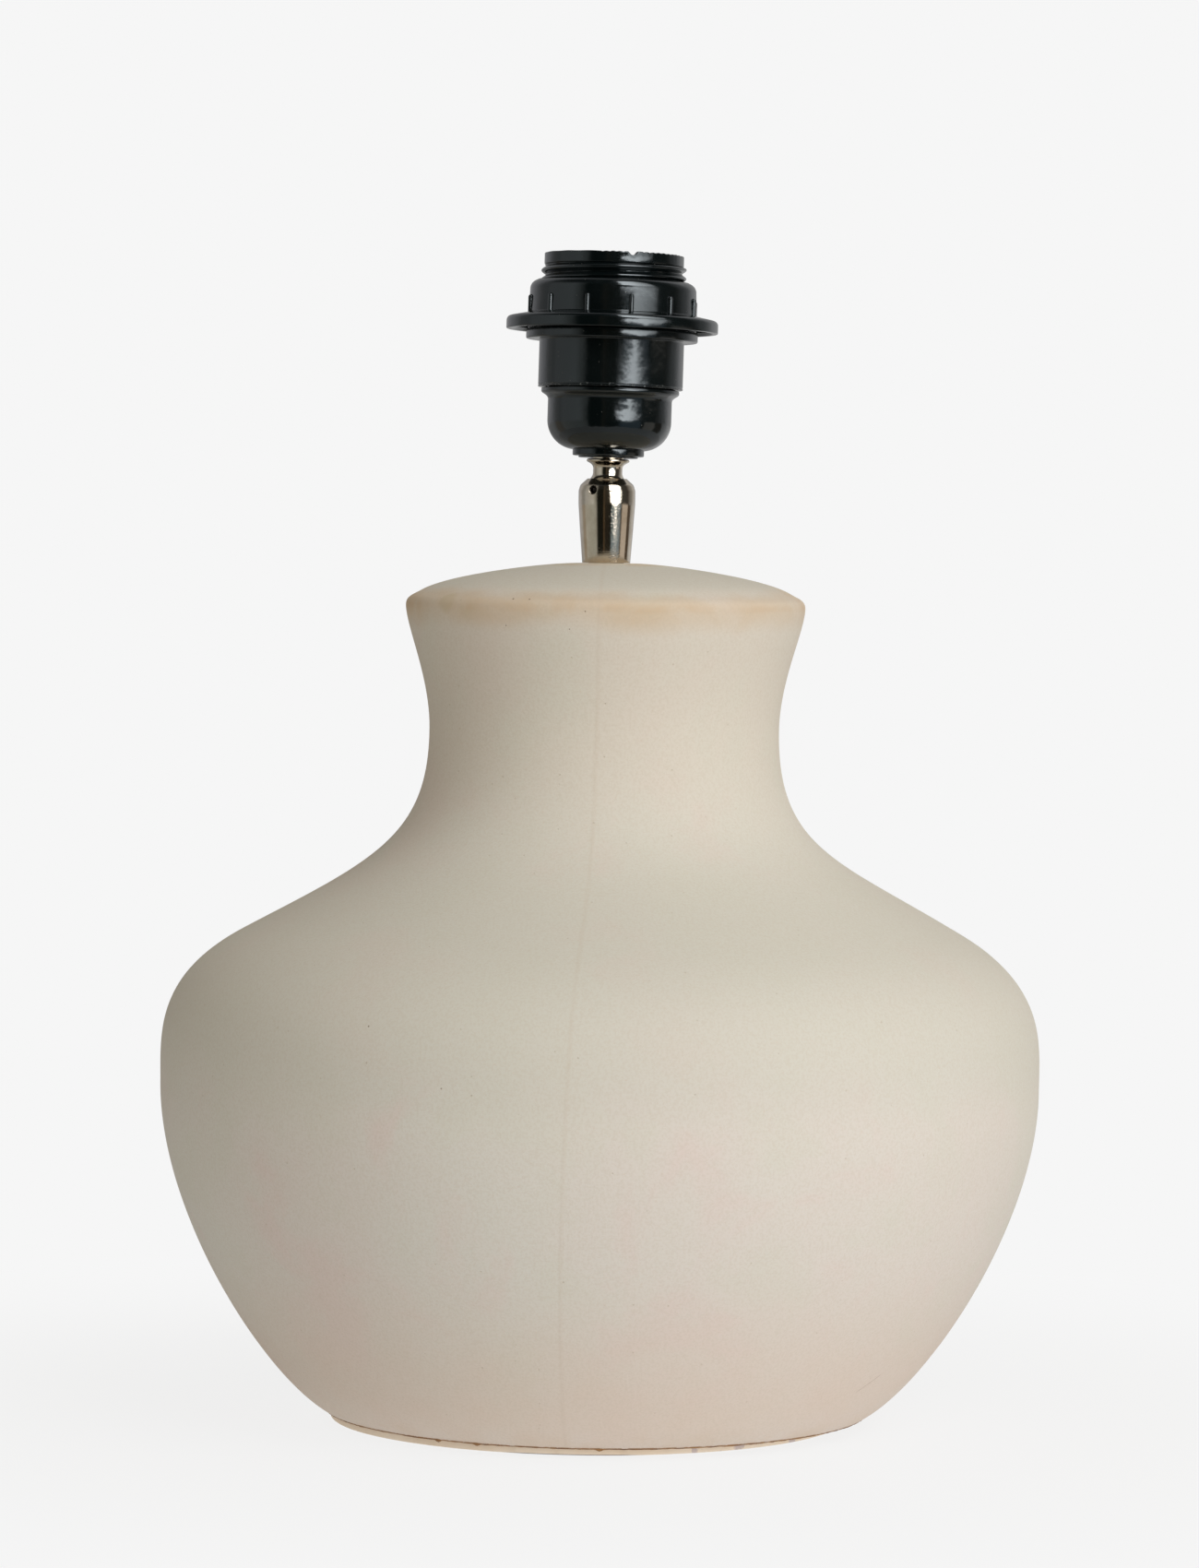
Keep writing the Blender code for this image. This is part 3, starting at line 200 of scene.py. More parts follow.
# Swivel socket, against the ball's centre
SOCKET_FOOT_RADIUS = 0.00663
SOCKET_WAIST_RADIUS = 0.00725
SOCKET_RADIUS = 0.00782
SOCKET_SHOULDER_RADIUS = 0.00735
SOCKET_MOUTH_RADIUS = 0.00535
SOCKET_WAIST_DROP = 0.0103
SOCKET_BELLY_DROP = 0.0022
SOCKET_CORNER_RISE = 0.0014
SOCKET_SHOULDER_RISE = 0.0030
SOCKET_MOUTH_RISE = 0.0048
SOCKET_MOUTH_ROUNDING = 0.0002
SOCKET_SHOULDER_ROUNDING = 0.0016
SOCKET_CORNER_ROUNDING = 0.0022
SOCKET_BELLY_ROUNDING = 0.0200
SOCKET_WAIST_ROUNDING = 0.0600
SOCKET_FOOT_ROUNDING = 0.00008
SOCKET_THREAD_DEPTH = 0.0068
SOCKET_WEB = 0.0026
SOCKET_WEB_BORE_RADIUS = 0.0036
CHAMBER_RADIUS = 0.0069
BALL_RADIUS = 0.0067
BALL_CLEARANCE = 0.0003
SOCKET_SEAT_REACH = 0.00022
PIN_RADIUS = 0.00065
PIN_HOLE_RADIUS = 0.00093
PIN_HOLE_RIM_RADIUS = 0.00135
PIN_HOLE_CHAMFER = 0.00045
PIN_HOLE_BOTTOM = 0.0067
PIN_HOLE_SHADE_SHARE = 1.15
PIN_HOLE_EDGE_SHARE = 1.20
PIN_DRILL_RADIUS = 0.0030
PIN_DRILL_REACH = 0.0020
PIN_RISE = 0.00165
PIN_AZIMUTH = math.radians(-120.2)
PIN_RECESS = 0.0009
PIN_TIP = 0.0059
PIN_DOME = 0.00008

# Side of the socket where the plating is grainy: azimuths, and levels against the ball's centre
GRAINY_LEFT = (0.06, 0.18)
GRAINY_RIGHT = (0.66, 0.50)
GRAINY_TOP = 0.0010
GRAINY_FULL = -0.0040

# Ball stud
STUD_BORE_RADIUS = 0.0030
STUD_BORE_FLARE = 0.0007
BALL_FLAT_DROP = 0.0057
NECK_STUD_RADIUS = 0.00403
NECK_BLEND = math.radians(45.0)
NECK_TOP = 0.0079
STUD_FLARE_SLOPE = math.radians(38.0)
STUD_FLARE_SHARES = (0.45, 0.30)
STUD_FLANGE_RADIUS = 0.0059
STUD_FLANGE_RISE = 0.0095
STUD_FLANGE_EDGE = 0.00035
STUD_FLANGE_CROWN = 0.0003
STUD_FLANGE_INNER_RADIUS = 0.0044
STUD_CROWN_ROUNDING = 0.0003
STUD_EDGE_ROUNDING = 0.0002
STUD_FLARE_INSET = 0.0004
STUD_FLARE_DROP = 0.0003
STUD_FLARE_FOOT = 0.0004
STUD_THREAD_RADIUS = 0.00485
STUD_THREAD_PITCH = 0.0010
STUD_THREAD_DEPTH = 0.0005
STUD_THREAD_START = 0.0003
STUD_THREAD_LEAD = 0.0010
UNDERCUT_RADIUS = 0.0043
UNDERCUT_HEIGHT = 0.0008
SPIGOT_LENGTH = 0.0094
GROOVE_FLOOR_RADIUS = 0.0056
GROOVE_HALF_HEIGHT = 0.00222
GROOVE_STOP_HALF_ANGLE = math.radians(8.0)
GROOVE_STOP_SLOPE = 0.02
GROOVE_EDGE = 0.0001

# Lampholder cup
CUP_STEP_RADIUS = 0.0082
CUP_STEP_HEIGHT = 0.0005
BOSS_RADIUS = 0.00985
BOSS_HEIGHT = 0.0016
BOSS_ROUNDING = 0.0004
CUP_STEP_FILLET = 0.00012
CUP_STEP_ROUNDING = 0.00025
CUP_RADIUS = 0.01708
CUP_ROUNDING = 0.0080
CUP_STRAIGHT = 0.0056
CUP_FLARE_RISE = 0.0021
CUP_FLARE_SLOPE = math.radians(52.0)
CUP_FLARE_SHARES = (0.40, 0.30)
CUP_BAND_HEIGHT = 0.0010
CUP_BAND_RADIUS = 0.0190
CUP_BAND_ROUNDING = 0.00025
CUP_BAND_FOOT_ROUNDING = 0.0004
CUP_BAND_INSET = 0.0004
CUP_RIPPLE_DEPTHS = (0.0040, 0.0060)
CUP_WALL = 0.0020
CUP_SPIGOT_RADIUS = 0.0175
CUP_THREAD_DEPTH = 0.0006
CUP_THREAD_PITCH = 0.0015
BUSH_POCKET_RADIUS = 0.0073
BUSH_POCKET_FLOOR = 0.0009
BUSH_POCKET_HEIGHT = 0.0063
BUSH_COLLAR_WALL = 0.0020

# Lampholder sleeve
BARREL_RADIUS = 0.01993
BARREL_HEIGHT = 0.0131
SLEEVE_WALL = 0.0020
COLLAR_THICKNESS = 0.0027
COLLAR_ROUNDING = 0.0005
COLLAR_TOP_ROUNDING = 0.0003
COLLAR_FILLET = 0.0004
SKIRT_HEIGHT = 0.0178
SKIRT_ROOT_RADIUS = 0.01880
SKIRT_CREST_RADIUS = 0.0200
SKIRT_PITCH = 0.0025
SKIRT_CREST_LEVEL = 0.0627
SKIRT_SHARPNESS = 0.75
SKIRT_THREAD_START = (0.0006, 0.0020)
SKIRT_EDGE = 0.0002
LIP_RADIUS = 0.0192
RIM_WALL = 0.0016
RIM_INNER_HEIGHT = 0.0016
RIM_INNER_DROP = 0.0012
RIM_ROUNDING = 0.0003
RIM_WAVES = ((0.00004, 3, 0.0, 0.5), (0.00003, 17, 0.0, 0.0))
RIM_WEAR_START = 0.0008
FUNNEL_DEPTH = 0.0042
LAMP_BORE_RADIUS = 0.01345
LAMP_CREST_RADIUS = 0.01245
LAMP_PITCH = 0.003629
LAMP_TUBE_WALL = 0.0016
LAMP_TUBE_RISE = 0.0085
LAMP_THREAD_START = (0.0045, 0.0060)
LAMP_THREAD_END = 0.0015
NOTCH_AZIMUTH = math.radians(-74.5)
NOTCH_HALF_WIDTH = 0.0015
NOTCH_DEPTH = 0.0010
NOTCH_FLAT_SHARE = 0.22
CHIP_DEPTH = 0.00042

# Worn stretches of the sleeve's rim, as angles from its notch: share, start and end
WORN_STRETCHES = ((1.0, (0.10, 0.22), (1.45, 1.15)), (0.6, (-0.55, -0.40), (-0.09, -0.16)))

# Flash line round the foot of the barrel: out from it, up from its lower edge, and rounding
FLASH_LINE = ((0.0, 0.0007, 0.0002), (-0.0001, 0.0005, 0.0001), (0.00004, 0.0003, 0.0001),
              (0.0, 0.0, 0.0002))
FLASH_HEIGHTS = (0.0010, 0.0006)
FLASH_DROP = 0.0002

# Shade ring
RING_HUB_RADIUS = 0.0232
RING_TOP_ROUNDING = 0.0026
HUB_DRAFT = 0.0003
HUB_SIDE_DROP = 0.0030
HUB_TOP_ARC = math.radians(82.0)
RING_EDGE_ROUNDING = 0.0003
RING_FOOT_ROUNDING = 0.0002
RING_BORE_RADIUS = 0.0203
RING_THREAD_DEPTH = 0.0006
RING_BORE_CHAMFER = 0.0006
RING_THREAD_START = (0.0004, 0.0014)
RING_THREAD_END = (0.0002, 0.0012)
FLANGE_RISE = 0.0042
FLANGE_FALL = 0.0012
FLANGE_ROUNDING = 0.0022
FLANGE_THICKNESS = 0.0016
FLANGE_RIM_WALL = 0.0022
FLANGE_EDGE_HEIGHT = 0.0008
FLANGE_RIM_CHAMFER = 0.0008
FLANGE_RIM_DROP = 0.00035
RIB_COUNT = 12
RIB_WIDTH = 0.00135
RIB_STAND = 0.00062
RIB_HEIGHT = 0.0047
RIB_SINK = 0.0004
RIB_DEPTH_SHARE = 2.4
RIB_ROUNDING_SHARE = 0.49
RIB_TOP_SHARE = 0.60
RIB_TIP_SHARE = 0.02
RIB_AZIMUTH = math.radians(-77.6)

# Outlines: least step between two points, how near a point must lie to count as on a line, and how much
# of a side the rounding of a corner may take
STEP = 0.0001
NEAR = 1e-6
CORNER_REACH_SHARE = 0.48

# Camera, in front of the lamp and about level with the rim of the body
CAMERA_HEIGHT = 0.240
CAMERA_DISTANCE = 1.600
CAMERA_PITCH = math.radians(2.31)
CAMERA_ROLL = math.radians(0.70)
CAMERA_OFFSET = 0.00108
CAMERA_LENS = 133.16
SENSOR_HEIGHT = 36.0
CAMERA_REACH = 20.0

# Stage and light. The key lamp lights the dull surfaces; the glossy ones reflect the room's own panel
BACKGROUND = 0.9216
FLOOR_RADIUS = 0.55
FLOOR_DROP = 0.0001
FLOOR_COLOUR = (0.86, 0.86, 0.86, 1.0)
FLOOR_SHADOW_REACH = (0.10, 0.36)
FLOOR_GLOW_SIDES = (-0.12, 0.10)
FLOOR_GLOW_REACH = (0.105, 0.085)
FLOOR_GLOW_LEFT_SHARE = 0.28
FLOOR_GLOW_ADDED_SHARE = 0.34
FLOOR_GLOSSY_LOSS_SHARE = 0.40
FLOOR_GLOW_AT_FOOT_SHARE = 0.30
FLOOR_SHADOW_SHARE = 0.10
KEY_AZIMUTH = math.radians(37.0)
KEY_ELEVATION = math.radians(28.0)
KEY_DISTANCE = 1.6
KEY_AIM_LEVEL = 0.2
KEY_WIDTH = 1.2
KEY_HEIGHT = 1.8
KEY_RADIANCE = 2.78
FILL_COLOUR = (0.43, 0.402, 0.352, 1.0)
FILL_BEHIND_SHARE = 0.55
FILL_BEHIND_DEGREES = (-95, -130)

# Bright panel and ceiling of the room that the glossy pieces reflect: azimuths in degrees from the
# front, and heights as the upward part of a direction
PANEL_RADIANCE = 9.6
PANEL_LEFT = (11, 14)
PANEL_RIGHT = (67, 60)
PANEL_FADE = (84, 18)
PANEL_FOOT = (-0.12, -0.05)
PANEL_HEAD = (0.97, 0.90)
PANEL_NARROWING = (0.05, -0.065)
PANEL_LEFT_TAPER = 22.0
PANEL_RIGHT_TAPER = 24.0
PANEL_DIP_SHARE = 0.50
PANEL_DIP_TAPER = 15.0
PANEL_DIP_FOOT = (0.09, 0.12)
PANEL_DIP_HEAD = (0.42, 0.30)
HORIZON = (-0.075, -0.035)
CEILING_RISE = (0.42, 0.80)
CEILING_SIDES = (140, 100)
CEILING_COLOUR = (0.045, 0.045, 0.045, 1.0)

# Room that the glossy pieces reflect: degrees from the front, colour above the horizon and below it
ROOM = (
    (-180, (0.42, 0.42, 0.42), (0.42, 0.42, 0.42)), (-170, (0.38, 0.38, 0.38), (0.30, 0.30, 0.30)),
    (-150, (0.46, 0.46, 0.48), (0.30, 0.30, 0.30)), (-135, (0.52, 0.52, 0.54), (0.46, 0.46, 0.45)),
    (-124, (0.42, 0.42, 0.43), (0.46, 0.46, 0.45)), (-118, (0.34, 0.34, 0.34), (0.38, 0.33, 0.27)),
    (-104, (0.34, 0.35, 0.35), (0.38, 0.33, 0.27)), (-98, (0.46, 0.47, 0.47), (0.49, 0.49, 0.45)),
    (-58, (0.64, 0.66, 0.65), (0.47, 0.49, 0.46)), (-46, (0.36, 0.37, 0.35), (0.42, 0.42, 0.39)),
    (-38, (0.012, 0.013, 0.010), (0.012, 0.013, 0.010)), (-15, (0.012, 0.012, 0.009), (0.012, 0.012, 0.009)),
    (-12, (0.10, 0.075, 0.05), (0.12, 0.085, 0.05)), (-6, (0.045, 0.038, 0.028), (0.03, 0.025, 0.018)),
    (16, (0.05, 0.045, 0.035), (0.02, 0.02, 0.016)), (21, (0.10, 0.12, 0.14), (0.22, 0.29, 0.34)),
    (59, (0.16, 0.18, 0.20), (0.26, 0.32, 0.38)), (62, (0.06, 0.06, 0.055), (0.05, 0.045, 0.035)),
    (66, (0.06, 0.06, 0.055), (0.05, 0.045, 0.035)), (69, (0.06, 0.06, 0.055), (0.62, 0.55, 0.48)),
    (94, (0.06, 0.055, 0.05), (0.62, 0.55, 0.48)), (98, (0.10, 0.09, 0.08), (0.10, 0.075, 0.055)),
    (113, (0.32, 0.32, 0.32), (0.10, 0.075, 0.055)), (119, (0.34, 0.34, 0.34), (0.52, 0.52, 0.52)),
    (140, (0.68, 0.68, 0.69), (0.75, 0.75, 0.75)), (165, (0.45, 0.45, 0.45), (0.70, 0.70, 0.70)),
    (180, (0.42, 0.42, 0.42), (0.42, 0.42, 0.42)),
)

# Levels and places worked out from the frame
BALL = Vector(joints["swivel_turn"]["pos_m"])
HOLDER_AXIS = Vector(joints["ring_lift"]["axis"])
UPRIGHT = Vector((0, 0, 1))
HOLDER_TURN = UPRIGHT.rotation_difference(HOLDER_AXIS)
HOLDER_PLACE = Matrix.Translation(BALL) @ HOLDER_TURN.to_matrix().to_4x4()
BALL_PLACE = Matrix.Translation(BALL)


def holder_span(node):
    """Give a node's lowest and highest level along the lampholder's axis, and its widest radius."""
    back = HOLDER_PLACE.inverted()
    points = [back @ vertex.co for vertex in frame["nodes"][node].data.vertices]
    levels = [point.z for point in points]
    return min(levels), max(levels), max(point.xy.length for point in points)


BODY_LOW, BODY_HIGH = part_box("ceramic_body")
FOOT_LOW, FOOT_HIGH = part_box("foot_ring")
FELT_LOW, FELT_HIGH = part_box("felt_pad")
BODY_BOTTOM = BODY_LOW.z
BODY_TOP = BODY_HIGH.z
BELLY_RADIUS = BODY_HIGH.x
BELLY_LEVEL = BODY_BOTTOM + BELLY_RISE
SHOULDER_LEVEL = BELLY_LEVEL + SHOULDER_RISE
NECK_LEVEL = SHOULDER_LEVEL + NECK_RISE
RIM_LEVEL = NECK_LEVEL + RIM_RISE
FOOT_SHIFT = (FOOT_LOW.x + FOOT_HIGH.x) / 2
FOOT_RADIUS = (FOOT_HIGH.x - FOOT_LOW.x) / 2
FELT_RADIUS = (FELT_HIGH.x - FELT_LOW.x) / 2
SOCKET_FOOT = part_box("swivel_socket")[0].z - BALL.z
CUP_BOTTOM, CUP_TOP = holder_span("holder_cup")[:2]
SLEEVE_BOTTOM, SLEEVE_TOP, COLLAR_RADIUS = holder_span("holder_sleeve")
RING_LOWEST, RING_TOP, FLANGE_RADIUS = holder_span("shade_ring")
RING_BOTTOM = RING_LOWEST + FLANGE_RIM_DROP
COLLAR_BOTTOM = SLEEVE_BOTTOM + BARREL_HEIGHT
COLLAR_TOP = COLLAR_BOTTOM + COLLAR_THICKNESS
SKIRT_TOP = COLLAR_TOP + SKIRT_HEIGHT


def arc(centre, radius, start, end, steps):
    """List points along a round stretch of an outline, its angles counted up from the outward level."""
    angles = [start + (end - start) * step / steps for step in range(steps + 1)]
    return [(centre[0] + radius * math.cos(a), centre[1] + radius * math.sin(a)) for a in angles]


def sweep(start, start_angle, end, end_angle, shares, steps):
    """List points along a smooth curve that leaves and arrives in the given directions."""
    a = Vector(start)
    d = Vector(end)
    chord = (d - a).length
    b = a + Vector((math.cos(start_angle), math.sin(start_angle))) * chord * shares[0]
    c = d - Vector((math.cos(end_angle), math.sin(end_angle))) * chord * shares[1]
    points = []
    for step in range(steps + 1):
        t = step / steps
        point = a * (1 - t) ** 3 + b * 3 * t * (1 - t) ** 2 + c * 3 * t * t * (1 - t) + d * t ** 3
        points.append((point.x, point.y))
    return points


def rounded(corners, steps=4):
    """Round the corners of a closed outline; a corner is a radius, a height and its own rounding."""
    points = []
    for index, corner in enumerate(corners):
        here = Vector(corner[:2])
        if len(corner) < 3:
            points.append(tuple(here))
            continue
        back = Vector(corners[index - 1][:2]) - here
        ahead = Vector(corners[(index + 1) % len(corners)][:2]) - here
        reach = corner[2] / math.tan(back.angle(ahead) / 2)
        reach = min(reach, back.length * CORNER_REACH_SHARE, ahead.length * CORNER_REACH_SHARE)
        first = here + back.normalized() * reach
        last = here + ahead.normalized() * reach
        for step in range(steps + 1):
            t = step / steps
            points.append(tuple(first * (1 - t) ** 2 + here * 2 * t * (1 - t) + last * t * t))
    return points


def run(start, end, steps):
    """List evenly spaced points of a straight stretch, both its ends included."""
    a = Vector(start)
    d = Vector(end)
    return [tuple(a.lerp(d, step / steps)) for step in range(steps + 1)]


def ease(value, low, high):
    """Rise smoothly from 0 at low to 1 at high."""
    t = np.clip((value - low) / (high - low), 0, 1)
    return t * t * (3 - 2 * t)


def thread_wave(height, angle, pitch, crest_level, sharpness=1.0):
    """Give 0 at the root of a right-handed thread and 1 on its crest."""
    turns = (height - crest_level) / pitch - angle / math.tau
    return (0.5 + 0.5 * np.cos(math.tau * turns)) ** sharpness


def waves(table, angle, height=0):
    """Add up a table's waves round a piece: each has a share, a number round it, a turn and a start."""
    return sum(share * np.sin(count * angle + turn * height + start) for share, count, turn, start in table)


def crest(table):
    """Give the most that the waves of a table can add up to."""
    return sum(row[0] for row in table)


def grid_mesh(name, x, y, z, looped):
    """Join a grid of points, round in its columns, into a closed mesh with its faces outwards."""
    rows, columns = x.shape
    points = np.stack([x, y, z], axis=-1).reshape(-1, 3)
    index = np.arange(rows * columns).reshape(rows, columns)
    ahead = np.roll(index, -1, axis=1)
    above = np.roll(index, -1, axis=0)
    corner = np.roll(above, -1, axis=1)
    faces = np.stack([index, ahead, corner, above], axis=-1)
    if not looped:
        faces = faces[:-1]
    mesh = bpy.data.meshes.new(name)
    mesh.from_pydata(points.tolist(), [], faces.reshape(-1, 4).tolist())
    bm = bmesh.new()
    bm.from_mesh(mesh)
    bmesh.ops.remove_doubles(bm, verts=bm.verts, dist=NEAR / 10)
    bmesh.ops.recalc_face_normals(bm, faces=bm.faces)
    bm.to_mesh(mesh)
    bm.free()
    return mesh


def revolve(name, outline, columns, warp=None):
    """Turn an outline of (radius, height) points about the upright axis.

    An outline that starts and ends on the axis makes a full solid, and any other is a closed loop.
    """
    looped = not (outline[0][0] == 0 and outline[-1][0] == 0)
    turn = np.linspace(0, math.tau, columns, endpoint=False)
    radius, angle = np.meshgrid(np.array([point[0] for point in outline]), turn, indexing="ij")
    height = np.repeat(np.array([[point[1]] for point in outline]), columns, axis=1)
    if warp:
        radius, height = warp(radius, height, angle)
    return grid_mesh(name, radius * np.cos(angle), radius * np.sin(angle), height, looped)


def smooth(mesh, sharp_angle=38.0):
    """Shade a mesh smooth, apart from its real edges."""
    mesh.shade_smooth()
    mesh.set_sharp_from_angle(angle=math.radians(sharp_angle))
    return mesh


def add_piece(name, mesh, finish, body, replaced=(), place=None):
    """Put a finished mesh in its place, as a piece that rides on a body of the frame."""
    if place is not None:
        mesh.transform(place)
    mesh.materials.clear()
    mesh.materials.append(finish)
    smooth(mesh)
    piece = bpy.data.objects.new(name, mesh)
    bpy.context.scene.collection.objects.link(piece)
    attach(piece, body)
    if replaced:
        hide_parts(*replaced)
    return piece


def evaluated_mesh(thing, name):
    """Make a plain mesh of an object as its modifiers leave it, and remove the object."""
    graph = bpy.context.evaluated_depsgraph_get()
    mesh = bpy.data.meshes.new_from_object(thing.evaluated_get(graph))
    mesh.name = name
    bpy.data.objects.remove(thing, do_unlink=True)
    return mesh


def cut(mesh, tool_mesh, name):
    """Cut a closed tool from a closed mesh."""
    thing = bpy.data.objects.new(name, mesh)
    tool = bpy.data.objects.new(f"{name}_tool", tool_mesh)
    for made in (thing, tool):
        bpy.context.scene.collection.objects.link(made)
    modifier = thing.modifiers.new("cut", "BOOLEAN")
    modifier.operation = "DIFFERENCE"
    modifier.solver = "EXACT"
    modifier.object = tool
    result = evaluated_mesh(thing, name)
    bpy.data.objects.remove(tool, do_unlink=True)
    return result


class Flow:
    """A socket of a node tree. Sums on it add Math nodes, and node() adds any other node."""

    def __init__(self, tree, socket=None):
        self.tree = tree
        self.socket = socket

    def node(self, kind, settings=None, values=None, output=0):
        """Add a node: its settings first, then the values or links of its sockets."""
        made = self.tree.nodes.new(kind)
        for key, value in (settings or {}).items():
            if key != "stops":
                setattr(made, key, value)
                continue
            while len(made.color_ramp.elements) < len(value):
                made.color_ramp.elements.new(1.0)
            for element, (place, colour) in zip(made.color_ramp.elements, value):
                element.position = place
                element.color = colour
        for key, value in (values or {}).items():
            if isinstance(value, Flow):
                self.tree.links.new(value.socket, made.inputs[key])
            else:
                made.inputs[key].default_value = value
        return Flow(self.tree, made.outputs[output])

    def maths(self, operation, *values):
        return self.node("ShaderNodeMath", {"operation": operation}, dict(enumerate(values)))

    def __add__(self, other):
        return self.maths("ADD", self, other)

    def __radd__(self, other):
        return self.maths("ADD", other, self)

    def __sub__(self, other):
        return self.maths("SUBTRACT", self, other)

    def __rsub__(self, other):
        return self.maths("SUBTRACT", other, self)

    def __mul__(self, other):
        return self.maths("MULTIPLY", self, other)

    def __rmul__(self, other):
        return self.maths("MULTIPLY", other, self)

    def __truediv__(self, other):
        return self.maths("DIVIDE", self, other)

    def __neg__(self):
        return self.maths("MULTIPLY", self, -1.0)

    def power(self, exponent):
        return self.maths("POWER", self, exponent)

    def magnitude(self):
        return self.maths("ABSOLUTE", self)

    def least(self, limit):
        return self.maths("MINIMUM", self, limit)

    def most(self, limit):
        return self.maths("MAXIMUM", self, limit)

    def sine(self):
        return self.maths("SINE", self)

    def azimuth(self):
        """Give the angle of a place about the upright axis, 0 at the front and rising to the right."""
        x = self.part("X")
        return x.maths("ARCTAN2", x, -self.part("Y"))

    def eased(self, low, high):
        """Rise smoothly from 0 at low to 1 at high, or fall where low is the larger."""
        return self.node("ShaderNodeMapRange", {"interpolation_type": "SMOOTHSTEP"},
                         {"Value": self, "From Min": low, "From Max": high})

    def part(self, axis):
        """Take X, Y or Z of a vector."""
        return self.node("ShaderNodeSeparateXYZ", {}, {"Vector": self}, axis)

    def noise(self, scale, detail=3.0, roughness=0.5, distortion=0.0):
        """Read a noise pattern, its scale in patches per metre, at this place."""
        return self.node("ShaderNodeTexNoise", {}, {"Vector": self, "Scale": scale, "Detail": detail,
                                                    "Roughness": roughness, "Distortion": distortion})

    def stretched(self, x, y, z):
        """Scale a place unevenly, so that a pattern is drawn out along one direction."""
        return self.node("ShaderNodeMapping", {}, {"Vector": self, "Scale": (x, y, z)})

    def specks(self, scale, size, share):
        """Mark small round specks: a share of the cells of a scattered grid holds one each."""
        cell = {"Vector": self, "Scale": scale}
        distance = self.node("ShaderNodeTexVoronoi", {}, cell, "Distance")
        chance = self.node("ShaderNodeTexVoronoi", {}, cell, "Color")
        picked = self.node("ShaderNodeSeparateColor", {}, {"Color": chance}, "Red")
        return distance.eased(size, size * 0.5) * picked.eased(share + PICK_EDGE, share)

    def spot(self, azimuth, level, radius, size):
        """Mark one round spot on a turned surface."""
        centre = (radius * math.sin(azimuth), -radius * math.cos(azimuth), level)
        return self.distance(centre).eased(size, size * 0.5)

    def ray(self, kind):
        """Tell rays of one kind, such as Glossy, from all others."""
        return self.node("ShaderNodeLightPath", {}, {}, f"Is {kind} Ray")

    def seen(self):
        """Tell the rays that see the plain background."""
        return self.ray("Camera").most(self.ray("Transmission"))

    def distance(self, spot):
        """Give how far this place lies from a spot."""
        return self.node("ShaderNodeVectorMath", {"operation": "DISTANCE"}, {0: self, 1: spot}, "Value")

    def mixed(self, first, second):
        """Mix two colours, by this value as the second one's share."""
        return self.node("ShaderNodeMix", {"data_type": "RGBA"}, {0: self, 6: first, 7: second}, 2)


def screen(red, green, blue):
    """Turn an 8-bit screen colour into the linear colour that a shader takes."""
    def channel(value):
        share = value / 255
        if share <= 0.04045:
            return share / 12.92
        return ((share + 0.055) / 1.055) ** 2.4
    return (channel(red), channel(green), channel(blue), 1.0)


def start_finish(name, **constants):
    """Start a finish; what is the same all over is set on the shader's own sockets."""
    made = bpy.data.materials.new(name)
    made.use_nodes = True
    shader = made.node_tree.nodes["Principled BSDF"]
    for key, value in constants.items():
        shader.inputs[key.replace("_", " ")].default_value = value
    place = Flow(made.node_tree).node("ShaderNodeTexCoord", {}, {}, "Object")
    return made, shader, place


def feed(shader, **flows):
    """Link what changes over the surface to the shader."""
    for key, flow in flows.items():
        flow.tree.links.new(flow.socket, shader.inputs[key.replace("_", " ")])


def relief(height, distance, strength=1.0):
    """Turn a height pattern into a bumped normal; the distance is the height of a full step."""
    return height.node("ShaderNodeBump", {}, {"Height": height, "Distance": distance,
                                              "Strength": strength})


def seam_distance(place):
    """Give how far a point of the body lies from its nearest mould seam, along the surface."""
    x = place.part("X")
    y = place.part("Y")
    off = place.azimuth() + SEAM_AZIMUTH - place.part("Z") * SEAM_TWIST
    return off.sine().magnitude() * (x * x + y * y).power(0.5)


